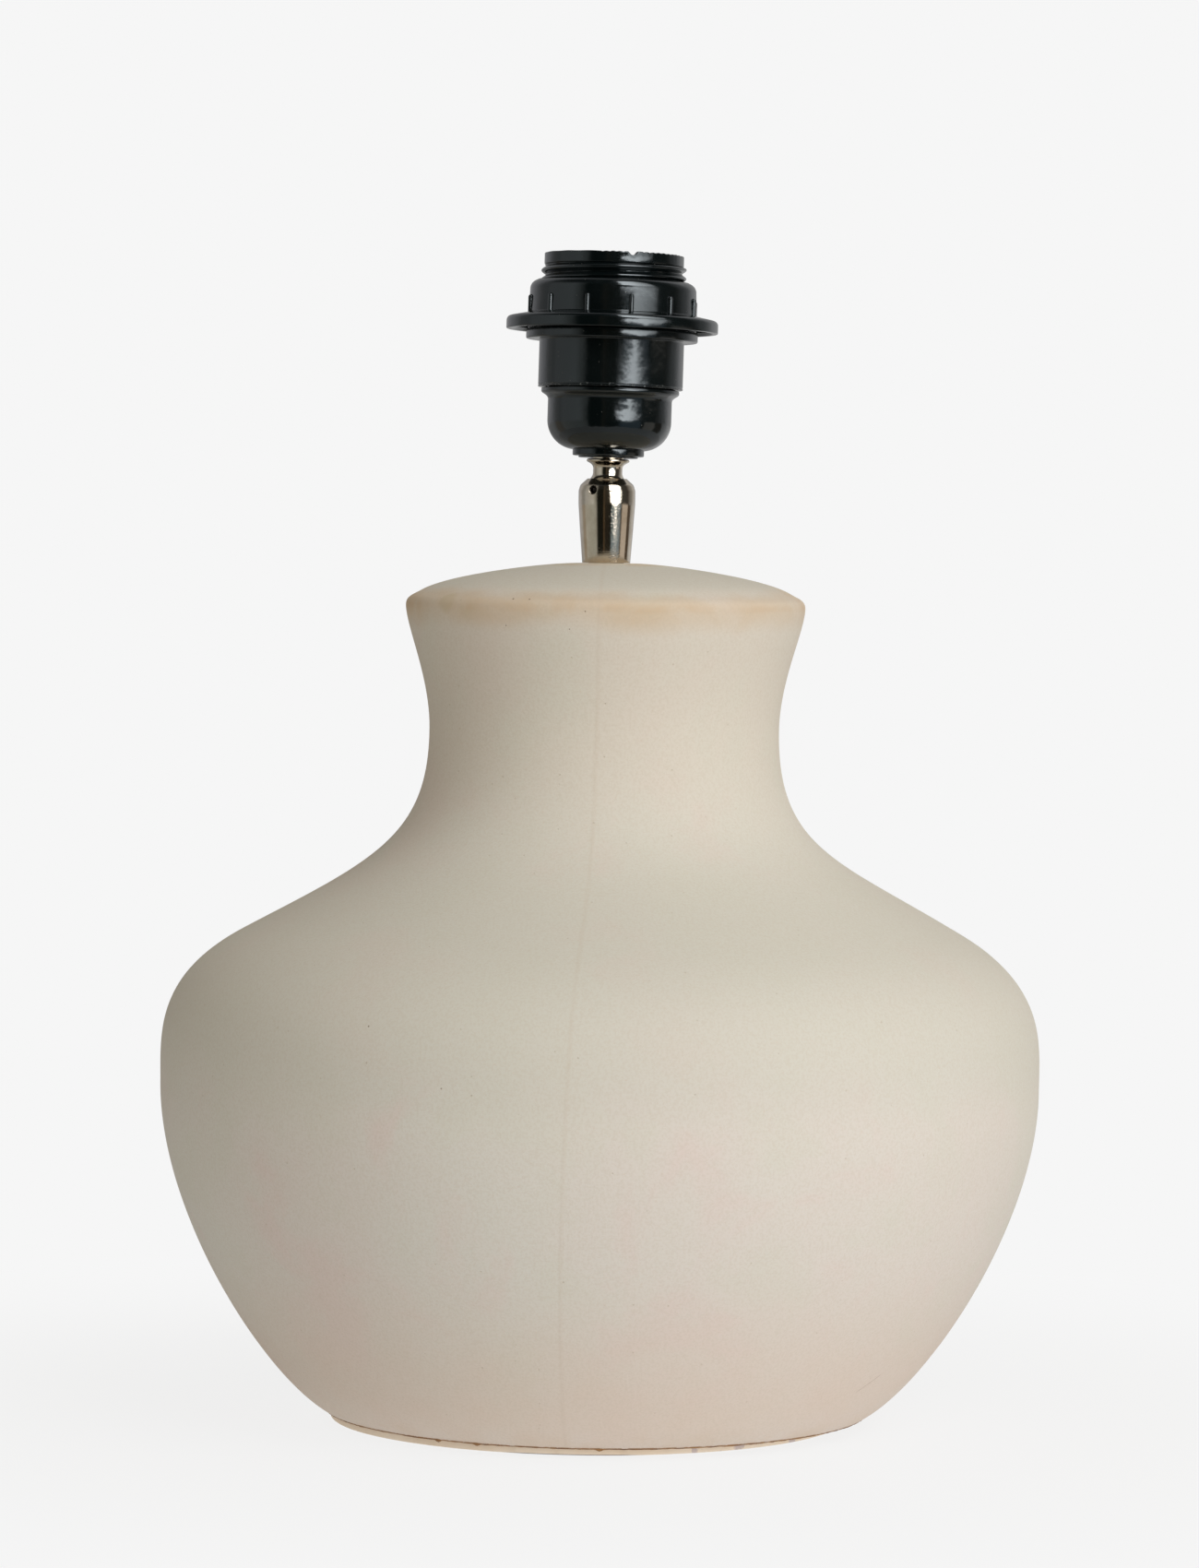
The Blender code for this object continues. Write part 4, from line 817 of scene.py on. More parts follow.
def stoneware_finish():
    """Matte, unglazed cream stoneware with its stains, specks and faint mould seams."""
    made, shader, place = start_finish("stoneware", IOR=1.40, Specular_IOR_Level=0.25)
    z = place.part("Z")
    broad = place.noise(9.0, 4.0, 0.55)
    patches = place.noise(24.0, 5.0, 0.6, 0.4)
    cloud = place.noise(70.0, 6.0, 0.65)
    grain = place.noise(1500.0, 3.0, 0.6)
    fine = place.noise(520.0, 4.0, 0.6)
    colour = broad.eased(0.36, 0.64).mixed(screen(216, 213, 204), screen(218, 210, 202))
    colour = (patches.eased(0.50, 0.66) * 0.75).mixed(colour, screen(220, 205, 198))
    colour = (z.eased(*UPPER_TONE) * 0.7).mixed(colour, screen(215, 207, 194))
    colour = (patches.eased(0.50, 0.36) * 0.45).mixed(colour, screen(212, 210, 197))
    shoulder = z.eased(*SHOULDER_TONE_FOOT) * z.eased(*SHOULDER_TONE_HEAD) + z.eased(*DOME_TONE)
    colour = (shoulder * 0.7).mixed(colour, screen(209, 206, 195))
    colour = (z.eased(*LOW_TONE) * (cloud * 0.7 + 0.45)).mixed(colour, screen(217, 201, 187))
    ragged = z + (place.noise(32.0, 4.0, 0.6) - 0.5) * STAIN_RAGGEDNESS
    stain = ragged.eased(*STAIN_FOOT) * ragged.eased(*STAIN_HEAD)
    blotches = place.noise(46.0, 4.0, 0.6, 0.4)
    weaker = place.part("X").eased(*STAIN_WEAKENING) * 0.25 + 0.75
    stain = stain * (blotches.eased(0.32, 0.62) * 0.34 + 0.36) * weaker
    colour = stain.mixed(colour, screen(206, 182, 152))
    under_rim = (ragged * 0.4 + z * 0.6).eased(*BROWN_FOOT) * z.eased(*BROWN_HEAD)
    brown = under_rim * (blotches.eased(0.42, 0.60) * 0.75 + 0.25)
    colour = (brown * 0.20).mixed(colour, screen(196, 160, 116))
    for azimuth, level, radius, size in STAIN_BLOTCHES:
        blotch = place.spot(azimuth, level, radius, size) * cloud.eased(0.36, 0.62)
        colour = (blotch * 0.34).mixed(colour, screen(188, 172, 132))
    # Painted reflection: a warm brown glow of the swivel, painted on the dome round its seat
    seat = (BODY_TOP - z).eased(*SEAT_REFLECTION_DEPTHS) * cloud.eased(0.30, 0.60)
    colour = (seat * 0.5).mixed(colour, screen(204, 176, 136))
    heel = z.eased(*HEEL_TONE) * cloud.eased(0.35, 0.7)
    colour = (heel * 0.5).mixed(colour, screen(210, 190, 168))
    edge_glue = (z - BODY_BOTTOM).eased(*EDGE_GLUE_HEIGHTS) * fine.eased(0.38, 0.52)
    colour = (edge_glue * 0.85).mixed(colour, screen(150, 112, 72))
    seam = seam_distance(place).eased(*SEAM_TONE_WIDTHS)
    colour = (seam * (cloud * 0.20 + 0.02)).mixed(colour, screen(196, 176, 156))
    aside = place.azimuth() - HAIRLINE_AZIMUTH - (z - HAIRLINE_LEVEL) * HAIRLINE_TWIST
    hairline = (aside + (fine - 0.5) * HAIRLINE_RAGGEDNESS).magnitude().eased(*HAIRLINE_EDGE)
    hairline = hairline * z.eased(*HAIRLINE_FOOT) * z.eased(*HAIRLINE_HEAD)
    colour = (hairline * 0.6).mixed(colour, screen(140, 112, 90))
    pits = place.specks(330.0, 0.10, 0.16)
    freckles = place.specks(620.0, 0.17, 0.22)
    dark_pits = place.specks(62.0, 0.022, 0.10)
    for azimuth, level, radius, size in BODY_SPECKS:
        dark_pits = dark_pits.most(place.spot(azimuth, level, radius, size))
    colour = (freckles * 0.20).mixed(colour, screen(206, 174, 150))
    colour = (pits * 0.30).mixed(colour, screen(172, 150, 124))
    colour = (dark_pits * 0.75).mixed(colour, screen(112, 84, 62))
    colour = (grain.eased(0.40, 0.66) * 0.22).mixed(colour, screen(196, 182, 162))
    height = grain * 0.5 + fine * 0.5 - pits * 0.8 - dark_pits
    feed(shader, Base_Color=colour, Roughness=grain * 0.16 + 0.76, Normal=relief(height, STONE_RELIEF))
    return made


def foot_finish():
    """Yellowish cream of the foot strip, with glue stains along its top and a dark purple-grey line along its
    bottom.
    """
    made, shader, place = start_finish("foot_cream", IOR=1.45)
    z = place.part("Z")
    x = place.part("X")
    broad = place.noise(30.0, 4.0, 0.6)
    fine = place.noise(700.0, 4.0, 0.6)
    blot = place.noise(110.0, 3.0, 0.6, 0.5)
    colour = broad.eased(0.35, 0.65).mixed(screen(250, 236, 216), screen(246, 228, 204))
    glue = z.eased(FOOT_HIGH.z - FOOT_GLUE_DEPTH, FOOT_HIGH.z)
    colour = (glue * blot.eased(0.42, 0.62)).mixed(colour, screen(166, 126, 84))
    colour = (blot.eased(0.68, 0.76) * 0.6).mixed(colour, screen(176, 136, 88))
    chips = place.noise(190.0, 3.0, 0.6).eased(0.56, 0.64) * x.eased(*FOOT_CHIPS_SIDE)
    colour = (chips * 0.6).mixed(colour, screen(186, 172, 182))
    # Dark purple-grey along the lowest edge of the strip, faint all round and strongest at the front
    felt_line = x.eased(*FELT_LINE_LEFT) * x.eased(*FELT_LINE_RIGHT)
    bottom_line = z.eased(FOOT_LOW.z, FOOT_LOW.z - FOOT_BOTTOM_LINE_DEPTH) * (felt_line * 0.8 + 0.1)
    colour = bottom_line.mixed(colour, screen(92, 84, 92))
    feed(shader, Base_Color=colour, Roughness=fine * 0.2 + 0.68, Normal=relief(fine, FOOT_RELIEF))
    return made


def glue_finish():
    """Brown, uneven line of hardened glue."""
    made, shader, place = start_finish("glue", IOR=1.5)
    blot = place.noise(260.0, 4.0, 0.65)
    colour = blot.eased(0.35, 0.65).mixed(screen(110, 72, 38), screen(158, 116, 72))
    feed(shader, Base_Color=colour, Roughness=blot * 0.3 + 0.35, Normal=relief(blot, GLUE_RELIEF))
    return made


def felt_finish():
    """Grey felt with its fibres."""
    made, shader, place = start_finish("grey_felt", Sheen_Weight=0.5, Sheen_Roughness=0.5)
    fibre = place.stretched(1.0, 3.0, 1.0).noise(2600.0, 6.0, 0.7, 1.2)
    cross = place.stretched(3.0, 1.0, 1.0).noise(2200.0, 6.0, 0.7, 1.2)
    both = (fibre + cross) * 0.5
    colour = both.eased(0.36, 0.66).mixed(screen(66, 66, 74), screen(112, 114, 122))
    feed(shader, Base_Color=colour, Roughness=both * 0.1 + 0.88, Normal=relief(both, FELT_RELIEF))
    return made


def rubber_finish():
    """Dull black rubber."""
    made, shader, place = start_finish("black_rubber", IOR=1.5)
    fine = place.noise(1800.0, 4.0, 0.6)
    dust = place.noise(160.0, 4.0, 0.7)
    colour = dust.eased(0.45, 0.75).mixed(screen(30, 29, 28), screen(52, 50, 47))
    feed(shader, Base_Color=colour, Roughness=dust * 0.2 + 0.55, Normal=relief(fine, RUBBER_RELIEF))
    return made


def moulding_finish():
    """Glossy black thermoset, with a slightly rippled skin, dust and handling scratches."""
    made, shader, place = start_finish("black_moulding", IOR=1.55, Specular_Tint=(0.88, 0.96, 1.0, 1.0))
    local = place.node("ShaderNodeMapping", {"vector_type": "TEXTURE"},
                       {"Vector": place, "Location": BALL, "Rotation": HOLDER_TURN.to_euler()})
    ripple = local.noise(240.0, 2.0, 0.5)
    mottle = local.noise(900.0, 3.0, 0.6)
    level = local.part("Z")
    on_cup = (CUP_TOP - level).eased(*CUP_RIPPLE_DEPTHS)
    flash = (level - SLEEVE_BOTTOM).eased(*FLASH_HEIGHTS)
    flash = flash * level.eased(SLEEVE_BOTTOM - FLASH_DROP, SLEEVE_BOTTOM) * mottle.eased(0.56, 0.66)
    dust = local.specks(900.0, 0.16, 0.07)
    haze = local.noise(60.0, 5.0, 0.65)
    scratches = local.stretched(0.35, 0.35, 2.6).noise(900.0, 4.0, 0.75, 1.5)
    scratched = scratches.eased(0.66, 0.74) * haze.eased(0.52, 0.66)
    colour = haze.eased(0.4, 0.75).mixed(screen(5, 11, 12), screen(11, 16, 17))
    colour = (dust * 0.6).mixed(colour, screen(92, 90, 84))
    colour = (scratched * 0.45).mixed(colour, screen(74, 76, 74))
    colour = (flash * 0.40).mixed(colour, screen(96, 98, 96))
    rough = haze * 0.10 + 0.08 + scratched * 0.12 + dust * 0.3 + flash * 0.3
    height = ripple * (on_cup * 0.7 + 1.0) + mottle * 0.10 + scratched * 0.06 + flash * 0.4
    feed(shader, Base_Color=colour, Roughness=rough, Normal=relief(height, MOULDING_RELIEF))
    return made


def nickel_finish():
    """Polished nickel plate over turned brass: faint turning lines, tiny pits, and painted shade in the stop pin's
    hole.
    """
    made, shader, place = start_finish("nickel_plate", Metallic=1.0)
    level = place.part("Z")
    lines = place.node("ShaderNodeTexNoise", {"noise_dimensions": "1D"},
                       {"W": level, "Scale": 9000.0, "Detail": 2.0})
    swell = place.noise(420.0, 2.0, 0.5)
    peel = place.noise(2400.0, 2.0, 0.5)
    haze = place.noise(160.0, 4.0, 0.6)
    pits = place.specks(1500.0, 0.18, 0.12)
    colour = haze.eased(0.35, 0.7).mixed(screen(206, 196, 180), screen(190, 178, 160))
    colour = (pits * 0.5).mixed(colour, screen(116, 104, 90))
    pin = BALL + pin_turn() @ Vector((0, 0, SOCKET_RADIUS - PIN_HOLE_CHAMFER))
    away = place.distance(pin)
    # Painted shade: the plating is coloured dark inside the stop pin's hole
    hole = away.eased(PIN_HOLE_RIM_RADIUS, PIN_HOLE_RADIUS * PIN_HOLE_SHADE_SHARE)
    colour = hole.mixed(colour, screen(46, 42, 36))
    around = place.node("ShaderNodeVectorMath", {"operation": "SUBTRACT"}, {0: place, 1: BALL})
    turned = around.azimuth()
    grainy = turned.eased(*GRAINY_LEFT) * turned.eased(*GRAINY_RIGHT)
    grainy = grainy * level.eased(BALL.z + GRAINY_TOP, BALL.z + GRAINY_FULL)
    rim = away.eased(PIN_HOLE_RIM_RADIUS * PIN_HOLE_EDGE_SHARE, PIN_HOLE_RIM_RADIUS)
    rough = haze * 0.08 + 0.05 + pits * 0.25 + hole * 0.25 + rim * 0.3
    height = lines * 0.12 + swell * 0.5 + peel * (grainy * 1.5 + 0.25) - pits * 0.15
    feed(shader, Base_Color=colour, Roughness=rough, Normal=relief(height, METAL_RELIEF))
    return made


def metal_finish(name, light, dark, rough, grain_scale):
    """Plain machine metal, with brushed grain and a little tarnish."""
    made, shader, place = start_finish(name, Metallic=1.0)
    grain = place.stretched(1.0, 1.0, 6.0).noise(grain_scale, 3.0, 0.6)
    tarnish = place.noise(220.0, 4.0, 0.6)
    colour = tarnish.eased(0.35, 0.7).mixed(light, dark)
    feed(shader, Base_Color=colour, Roughness=tarnish * 0.18 + rough, Normal=relief(grain, METAL_RELIEF))
    return made


def pale_finish(name, light, dark, rough):
    """Pale insulating material with a fine mottle."""
    made, shader, place = start_finish(name, IOR=1.5)
    mottle = place.noise(420.0, 4.0, 0.6)
    grain = place.noise(2400.0, 3.0, 0.6)
    colour = mottle.eased(0.35, 0.7).mixed(light, dark)
    feed(shader, Base_Color=colour, Roughness=grain * 0.15 + rough, Normal=relief(grain, PALE_RELIEF))
    return made


def make_finishes():
    """List the finishes by the record's slots, and the glue's by its own name."""
    return {
        "stoneware": stoneware_finish(),
        "foot": foot_finish(),
        "glue": glue_finish(),
        "felt": felt_finish(),
        "rubber": rubber_finish(),
        "nickel": nickel_finish(),
        "black_moulding": moulding_finish(),
        "steel": metal_finish("zinc_steel", screen(186, 186, 184), screen(150, 148, 144), 0.28, 900.0),
        "brass": metal_finish("brass", screen(206, 172, 98), screen(168, 134, 74), 0.22, 1200.0),
        # The stop pin's steel is dark grey partly as blued steel and partly as painted shade of the hole it sits
        # deep in
        "spring_steel": metal_finish("spring_steel", screen(54, 51, 48), screen(40, 38, 36), 0.58, 900.0),
        "nylon": pale_finish("nylon", screen(220, 216, 204), screen(206, 200, 184), 0.42),
        "insulator": pale_finish("steatite", screen(232, 228, 218), screen(214, 208, 196), 0.38),
    }


def body_outline():
    """Trace the outside of the stoneware from the foot edge to the seat of the swivel."""
    up = math.pi / 2
    foot = (BODY_FOOT_RADIUS, BODY_BOTTOM)
    belly = (BELLY_RADIUS, BELLY_LEVEL)
    shoulder = (SHOULDER_RADIUS, SHOULDER_LEVEL)
    neck = (NECK_RADIUS, NECK_LEVEL)
    rim = (RIM_RADIUS, RIM_LEVEL)
    dome = (RIM_RADIUS - DOME_START_INSET, RIM_LEVEL + DOME_START_RISE)
    seat = (DOME_SEAT_RADIUS, BODY_TOP)
    points = sweep(foot, FOOT_SLOPE, belly, up, FOOT_TO_BELLY_SHARES, 60)
    points += sweep(belly, up, shoulder, SHOULDER_SLOPE, BELLY_TO_SHOULDER_SHARES, 34)[1:]
    points += sweep(shoulder, SHOULDER_SLOPE, neck, up, SHOULDER_TO_NECK_SHARES, 44)[1:]
    points += sweep(neck, up, rim, RIM_FLARE, NECK_TO_RIM_SHARES, 22)[1:]
    points += sweep(rim, RIM_FLARE, dome, DOME_START_SLOPE, RIM_ROUNDING_SHARES, 14)[1:]
    return points + sweep(dome, DOME_START_SLOPE, seat, math.pi, DOME_SHARES, 40)[1:]


def inward(points, distance):
    """Move each point of an upward outline towards the hollow, square to its run."""
    moved = []
    for index, point in enumerate(points):
        before = Vector(points[max(index - 1, 0)])
        after = Vector(points[min(index + 1, len(points) - 1)])
        along = (after - before).normalized()
        moved.append((point[0] - along.y * distance, point[1] + along.x * distance))
    return moved


def body_loop():
    """Close the outline of the stoneware: down its outside first, then up round its hollow."""
    outside = body_outline()
    foot = Vector(outside[0])
    floor = BODY_BOTTOM + BODY_WALL
    ceiling = BODY_TOP - BODY_WALL
    lining = [p for p in inward(outside, BODY_WALL)[::4] if floor < p[1] < ceiling]
    lining = [p for p in lining if p[0] > LINING_INNER_RADIUS]
    heel = [(foot.x - BODY_FOOT_ROUNDING, BODY_BOTTOM)]
    loop = outside[::-1]
    loop += heel + [(BODY_OPENING_RADIUS, BODY_BOTTOM), (BODY_OPENING_RADIUS, floor),
                    (lining[0][0], floor)]
    loop += lining + [(LINING_CROWN_RADIUS, ceiling), (ROD_HOLE_RADIUS, ceiling)]
    return loop + [(ROD_HOLE_RADIUS, BODY_TOP)]


def body_angles(radius, height):
    """Set the columns of each row of the body, with narrow ones that follow both mould seams."""
    steps = [-step for step in SEAM_STEPS[:0:-1]] + list(SEAM_STEPS)
    between = 92
    rows = []
    for r, z in zip(radius, height):
        front = -math.pi / 2 - SEAM_AZIMUTH + SEAM_TWIST * z
        reach = SEAM_STEPS[-1] / r
        near = [step / r for step in steps]
        far = list(np.linspace(reach, math.pi - reach, between + 2)[1:-1])
        half = near + far
        rows.append([front + a for a in half] + [front + math.pi + a for a in half])
    return np.array(rows)


def make_body(finishes):
    """Slip-cast stoneware body with its two raised mould seams."""
    loop = body_loop()
    radius = np.array([point[0] for point in loop])
    height = np.array([point[1] for point in loop])
    angle = body_angles(radius, height)
    columns = angle.shape[1]
    r = np.repeat(radius[:, None], columns, axis=1)
    z = np.repeat(height[:, None], columns, axis=1)
    seam = -math.pi / 2 - SEAM_AZIMUTH + SEAM_TWIST * z
    apart = np.abs(np.sin(angle - seam)) * r
    outside = np.zeros(len(loop))
    outside[:len(body_outline())] = 1
    shown = outside[:, None] * ease(r, EVEN_DOME_RADIUS, UNEVEN_DOME_RADIUS)
    shown = shown * ease(z, BODY_BOTTOM, BODY_BOTTOM + EVEN_FOOT_HEIGHT)
    ridge = SEAM_HEIGHT * np.exp(-(apart / SEAM_WIDTH) ** 2)
    ridge = ridge * (SEAM_LEVEL_SHARE + SEAM_RIPPLE_SHARE * np.sin(z * SEAM_RIPPLE_TURN))
    wobble = BODY_WOBBLE * (waves(BODY_WAVES, angle, z) - crest(BODY_WAVES))
    r = r + shown * (ridge + wobble)
    above = (z - BELLY_LEVEL - SHOULDER_SHIFT_RISE) / SHOULDER_SHIFT_REACH
    shift = SHOULDER_SHIFT * np.exp(-above ** 2)
    mesh = grid_mesh("body_shell", r * np.cos(angle) + shift, r * np.sin(angle), z, True)
    hole = [(0, CORD_DRILL_OUT), (CORD_HOLE_RADIUS, CORD_DRILL_OUT), (CORD_HOLE_RADIUS, -CORD_DRILL_IN),
            (0, -CORD_DRILL_IN)]
    drill = revolve("cord_drill", hole, 48)
    drill.transform(cord_place())
    mesh = cut(mesh, drill, "body_shell")
    add_piece("body_shell", mesh, finishes["stoneware"], "base", ["ceramic_body"])


def cord_place():
    """Set the axis of the cord hole square to the wall at the back, its +Z pointing out."""
    level = BODY_BOTTOM + CORD_HOLE_SHARE * BELLY_RISE
    wall = sweep((BODY_FOOT_RADIUS, BODY_BOTTOM), FOOT_SLOPE, (BELLY_RADIUS, BELLY_LEVEL), math.pi / 2,
                 FOOT_TO_BELLY_SHARES, SOLID_BELLY_STEPS)
    low, high = next(step for step in zip(wall, wall[1:]) if step[0][1] <= level <= step[1][1])
    out = low[0] + (high[0] - low[0]) * (level - low[1]) / (high[1] - low[1])
    fall = math.atan2(high[0] - low[0], high[1] - low[1])
    return Matrix.Translation((0, out, level)) @ Matrix.Rotation(-math.pi / 2 - fall, 4, "X")


def make_cord_bush(finishes):
    """Rubber bush in the cord hole."""
    sleeve = CORD_HOLE_RADIUS - BUSH_FIT
    outer_low = BUSH_OUTER_SAG
    outer_high = outer_low + BUSH_FLANGE_THICKNESS
    inner_high = -BODY_WALL - BUSH_INNER_SAG
    inner_low = inner_high - BUSH_FLANGE_THICKNESS
    corners = [(BUSH_BORE_RADIUS, outer_high, BUSH_MOUTH_ROUNDING),
               (BUSH_FLANGE_RADIUS, outer_high, BUSH_FLANGE_ROUNDING),
               (BUSH_FLANGE_RADIUS, outer_low, BUSH_EDGE_ROUNDING), (sleeve, outer_low),
               (sleeve, inner_high), (BUSH_FLANGE_RADIUS, inner_high, BUSH_EDGE_ROUNDING),
               (BUSH_FLANGE_RADIUS, inner_low, BUSH_FLANGE_ROUNDING),
               (BUSH_BORE_RADIUS, inner_low, BUSH_MOUTH_ROUNDING)]
    mesh = revolve("cord_grommet", rounded(corners), 64)
    add_piece("cord_grommet", mesh, finishes["rubber"], "base", ["cord_bush"], cord_place())


def make_foot(finishes):
    """Foot strip with its nibbled edges, and the felt in its recess."""
    shift = Matrix.Translation((FOOT_SHIFT, 0, 0))
    recess = FELT_RADIUS + FELT_FIT
    ceiling = FELT_HIGH.z + FELT_FIT
    top = FOOT_HIGH.z
    low = FOOT_LOW.z - FOOT_EDGE_SAG
    corners = [(FOOT_OPENING_RADIUS, top), (FOOT_RADIUS, top, FOOT_ROUNDING),
               (FOOT_RADIUS, low, FOOT_ROUNDING), (recess, low), (recess, ceiling),
               (FOOT_OPENING_RADIUS, ceiling)]

    def nibble(radius, height, angle):
        edge = ease(radius, FOOT_RADIUS - FOOT_NIBBLE_REACH, FOOT_RADIUS)
        chips = np.sin(37 * angle + 1.1) * np.sin(23 * angle) * np.sin(91 * angle + 0.4)
        depth = ease(chips, 0.45, 0.95) * FOOT_CHIP_DEPTH * ease(height, low, top)
        depth = depth + FOOT_WAVE_DEPTH * (waves(FOOT_WAVES, angle) + crest(FOOT_WAVES))
        return radius - edge * depth, height

    mesh = revolve("foot_strip", rounded(corners, 5), 720, nibble)
    add_piece("foot_strip", mesh, finishes["foot"], "base", ["foot_ring"], shift)
    corners = [(0, FELT_HIGH.z), (FELT_RADIUS, FELT_HIGH.z, FELT_ROUNDING),
               (FELT_RADIUS, FELT_LOW.z, FELT_ROUNDING), (0, FELT_LOW.z)]
    mesh = revolve("felt_disc", rounded(corners, 3), 180)
    add_piece("felt_disc", mesh, finishes["felt"], "base", ["felt_pad"], shift)


def start_tree(name, inputs):
    """Start a Geometry Nodes tree with named inputs, and give its sockets by name."""
    tree = bpy.data.node_groups.new(name, "GeometryNodeTree")
    tree.interface.new_socket("Geometry", in_out="OUTPUT", socket_type="NodeSocketGeometry")
    for label, kind, _ in inputs:
        tree.interface.new_socket(label, in_out="INPUT", socket_type=f"NodeSocket{kind}")
    given = tree.nodes.new("NodeGroupInput")
    return tree, {label: Flow(tree, given.outputs[label]) for label, _, _ in inputs}


def bake_tree(name, tree, geometry, finish, inputs):
    """End a tree in real, finished geometry, run it once, and give the plain mesh."""
    real = geometry.node("GeometryNodeRealizeInstances", {}, {"Geometry": geometry})
    dressed = real.node("GeometryNodeSetMaterial", {}, {"Geometry": real, "Material": finish})
    end = tree.nodes.new("NodeGroupOutput")
    tree.links.new(dressed.socket, end.inputs["Geometry"])
    thing = bpy.data.objects.new(name, bpy.data.meshes.new(name))
    bpy.context.scene.collection.objects.link(thing)
    modifier = thing.modifiers.new(name, "NODES")
    modifier.node_group = tree
    sockets = {item.name: item.identifier for item in tree.interface.items_tree if item.in_out == "INPUT"}
    for label, _, value in inputs:
        modifier[sockets[label]] = value
    return evaluated_mesh(thing, name)


def make_glue(finishes):
    """Uneven bead of glue that shows all round under the edge of the body, with a few blobs."""
    inputs = [("Line Radius", "Float", BODY_FOOT_RADIUS - GLUE_INSET),
              ("Bead Radius", "Float", GLUE_BEAD_RADIUS), ("Blob Radius", "Float", GLUE_BLOB_RADIUS),
              ("Unevenness", "Float", GLUE_UNEVENNESS), ("Level", "Float", BODY_BOTTOM - GLUE_DROP)]
    tree, given = start_tree("glue_line", inputs)
    flow = Flow(tree)
    circle = flow.node("GeometryNodeCurvePrimitiveCircle", {},
                       {"Resolution": 900, "Radius": given["Line Radius"]})
    spot = flow.node("GeometryNodeInputPosition")
    rough = flow.node("ShaderNodeTexNoise", {}, {"Vector": spot, "Scale": 420.0, "Detail": 3.0})
    slow = flow.node("ShaderNodeTexNoise", {}, {"Vector": spot, "Scale": 60.0, "Detail": 2.0})
    swell = (rough - 0.5) * 2.0 + (slow - 0.5) * 2.0
    blobs = swell * 0.0
    for azimuth in GLUE_BLOB_AZIMUTHS:
        blobs = blobs.most((spot.azimuth() - azimuth).magnitude().eased(GLUE_BLOB_REACH, 0.0))
    lift = flow.node("ShaderNodeCombineXYZ", {}, {"Z": given["Level"] + (slow - 0.5) * given["Unevenness"]})
    placed = flow.node("GeometryNodeSetPosition", {}, {"Geometry": circle, "Offset": lift})
    thick = given["Bead Radius"] + swell * given["Unevenness"] + blobs * given["Blob Radius"]
    thick = thick.most(GLUE_LEAST_RADIUS)
    sized = flow.node("GeometryNodeSetCurveRadius", {}, {"Curve": placed, "Radius": thick})
    section = flow.node("GeometryNodeCurvePrimitiveCircle", {}, {"Resolution": 8, "Radius": 1.0})
    bead = flow.node("GeometryNodeCurveToMesh", {}, {"Curve": sized, "Profile Curve": section,
                                                     "Scale": thick})
    mesh = bake_tree("glue_bead", tree, bead, finishes["glue"], inputs)
    add_piece("glue_bead", mesh, finishes["glue"], "base")


def make_socket(finishes):
    """Tapered nickel socket, rolled in over the ball, with the chamfered hole of its pin."""
    seat_radius = BALL_RADIUS + BALL_CLEARANCE
    seat_end = math.acos(SOCKET_MOUTH_RADIUS / seat_radius)
    seat_start = -math.acos(CHAMBER_RADIUS / seat_radius)
    foot = SOCKET_FOOT - SOCKET_SEAT_REACH
    step = SOCKET_FOOT + SOCKET_THREAD_DEPTH
    corners = [(SOCKET_MOUTH_RADIUS, SOCKET_MOUTH_RISE, SOCKET_MOUTH_ROUNDING),
               (SOCKET_SHOULDER_RADIUS, SOCKET_SHOULDER_RISE, SOCKET_SHOULDER_ROUNDING),
               (SOCKET_RADIUS, SOCKET_CORNER_RISE, SOCKET_CORNER_ROUNDING),
               (SOCKET_RADIUS, -SOCKET_BELLY_DROP, SOCKET_BELLY_ROUNDING),
               (SOCKET_WAIST_RADIUS, -SOCKET_WAIST_DROP, SOCKET_WAIST_ROUNDING),
               (SOCKET_FOOT_RADIUS, foot, SOCKET_FOOT_ROUNDING),
               (ROD_HOLE_RADIUS, foot), (ROD_HOLE_RADIUS, step), (SOCKET_WEB_BORE_RADIUS, step),
               (SOCKET_WEB_BORE_RADIUS, step + SOCKET_WEB), (CHAMBER_RADIUS, step + SOCKET_WEB)]
    corners += arc((0, 0), seat_radius, seat_start, seat_end, 16)
    mesh = revolve("socket_shell", rounded(corners, 8), 144)
    start = SOCKET_RADIUS + PIN_DRILL_REACH
    hole = [(0, start), (PIN_DRILL_RADIUS, start), (PIN_HOLE_RIM_RADIUS, SOCKET_RADIUS),
            (PIN_HOLE_RADIUS, SOCKET_RADIUS - PIN_HOLE_CHAMFER),
            (PIN_HOLE_RADIUS, PIN_HOLE_BOTTOM), (0, PIN_HOLE_BOTTOM)]
    drill = revolve("pin_drill", hole, 40)
    drill.transform(pin_turn())
    mesh = cut(mesh, drill, "socket_shell")
    add_piece("socket_shell", mesh, finishes["nickel"], "base", ["swivel_socket"], BALL_PLACE)


def pin_turn():
    """Turn the upright axis to lie along the stop pin, pointing out."""
    return (Matrix.Translation((0, 0, PIN_RISE)) @ Matrix.Rotation(PIN_AZIMUTH, 4, "Z")
            @ Matrix.Rotation(math.pi / 2, 4, "Y"))


def make_pin(finishes):
    """Domed end of the stop pin, a little below the surface of the socket."""
    head = SOCKET_RADIUS - PIN_RECESS
    corners = arc((0, head - PIN_RADIUS), PIN_RADIUS, math.pi / 2, 0, 6)
    corners = [(radius, head - PIN_DOME + (level - head + PIN_RADIUS) * PIN_DOME / PIN_RADIUS)
               for radius, level in corners]
    corners[0] = (0, corners[0][1])
    outline = corners + [(PIN_RADIUS, PIN_TIP), (0, PIN_TIP)]
    mesh = revolve("pin_head", outline, 32)
    add_piece("pin_head", mesh, finishes["spring_steel"], "base", ["stop_pin"],
              BALL_PLACE @ pin_turn())


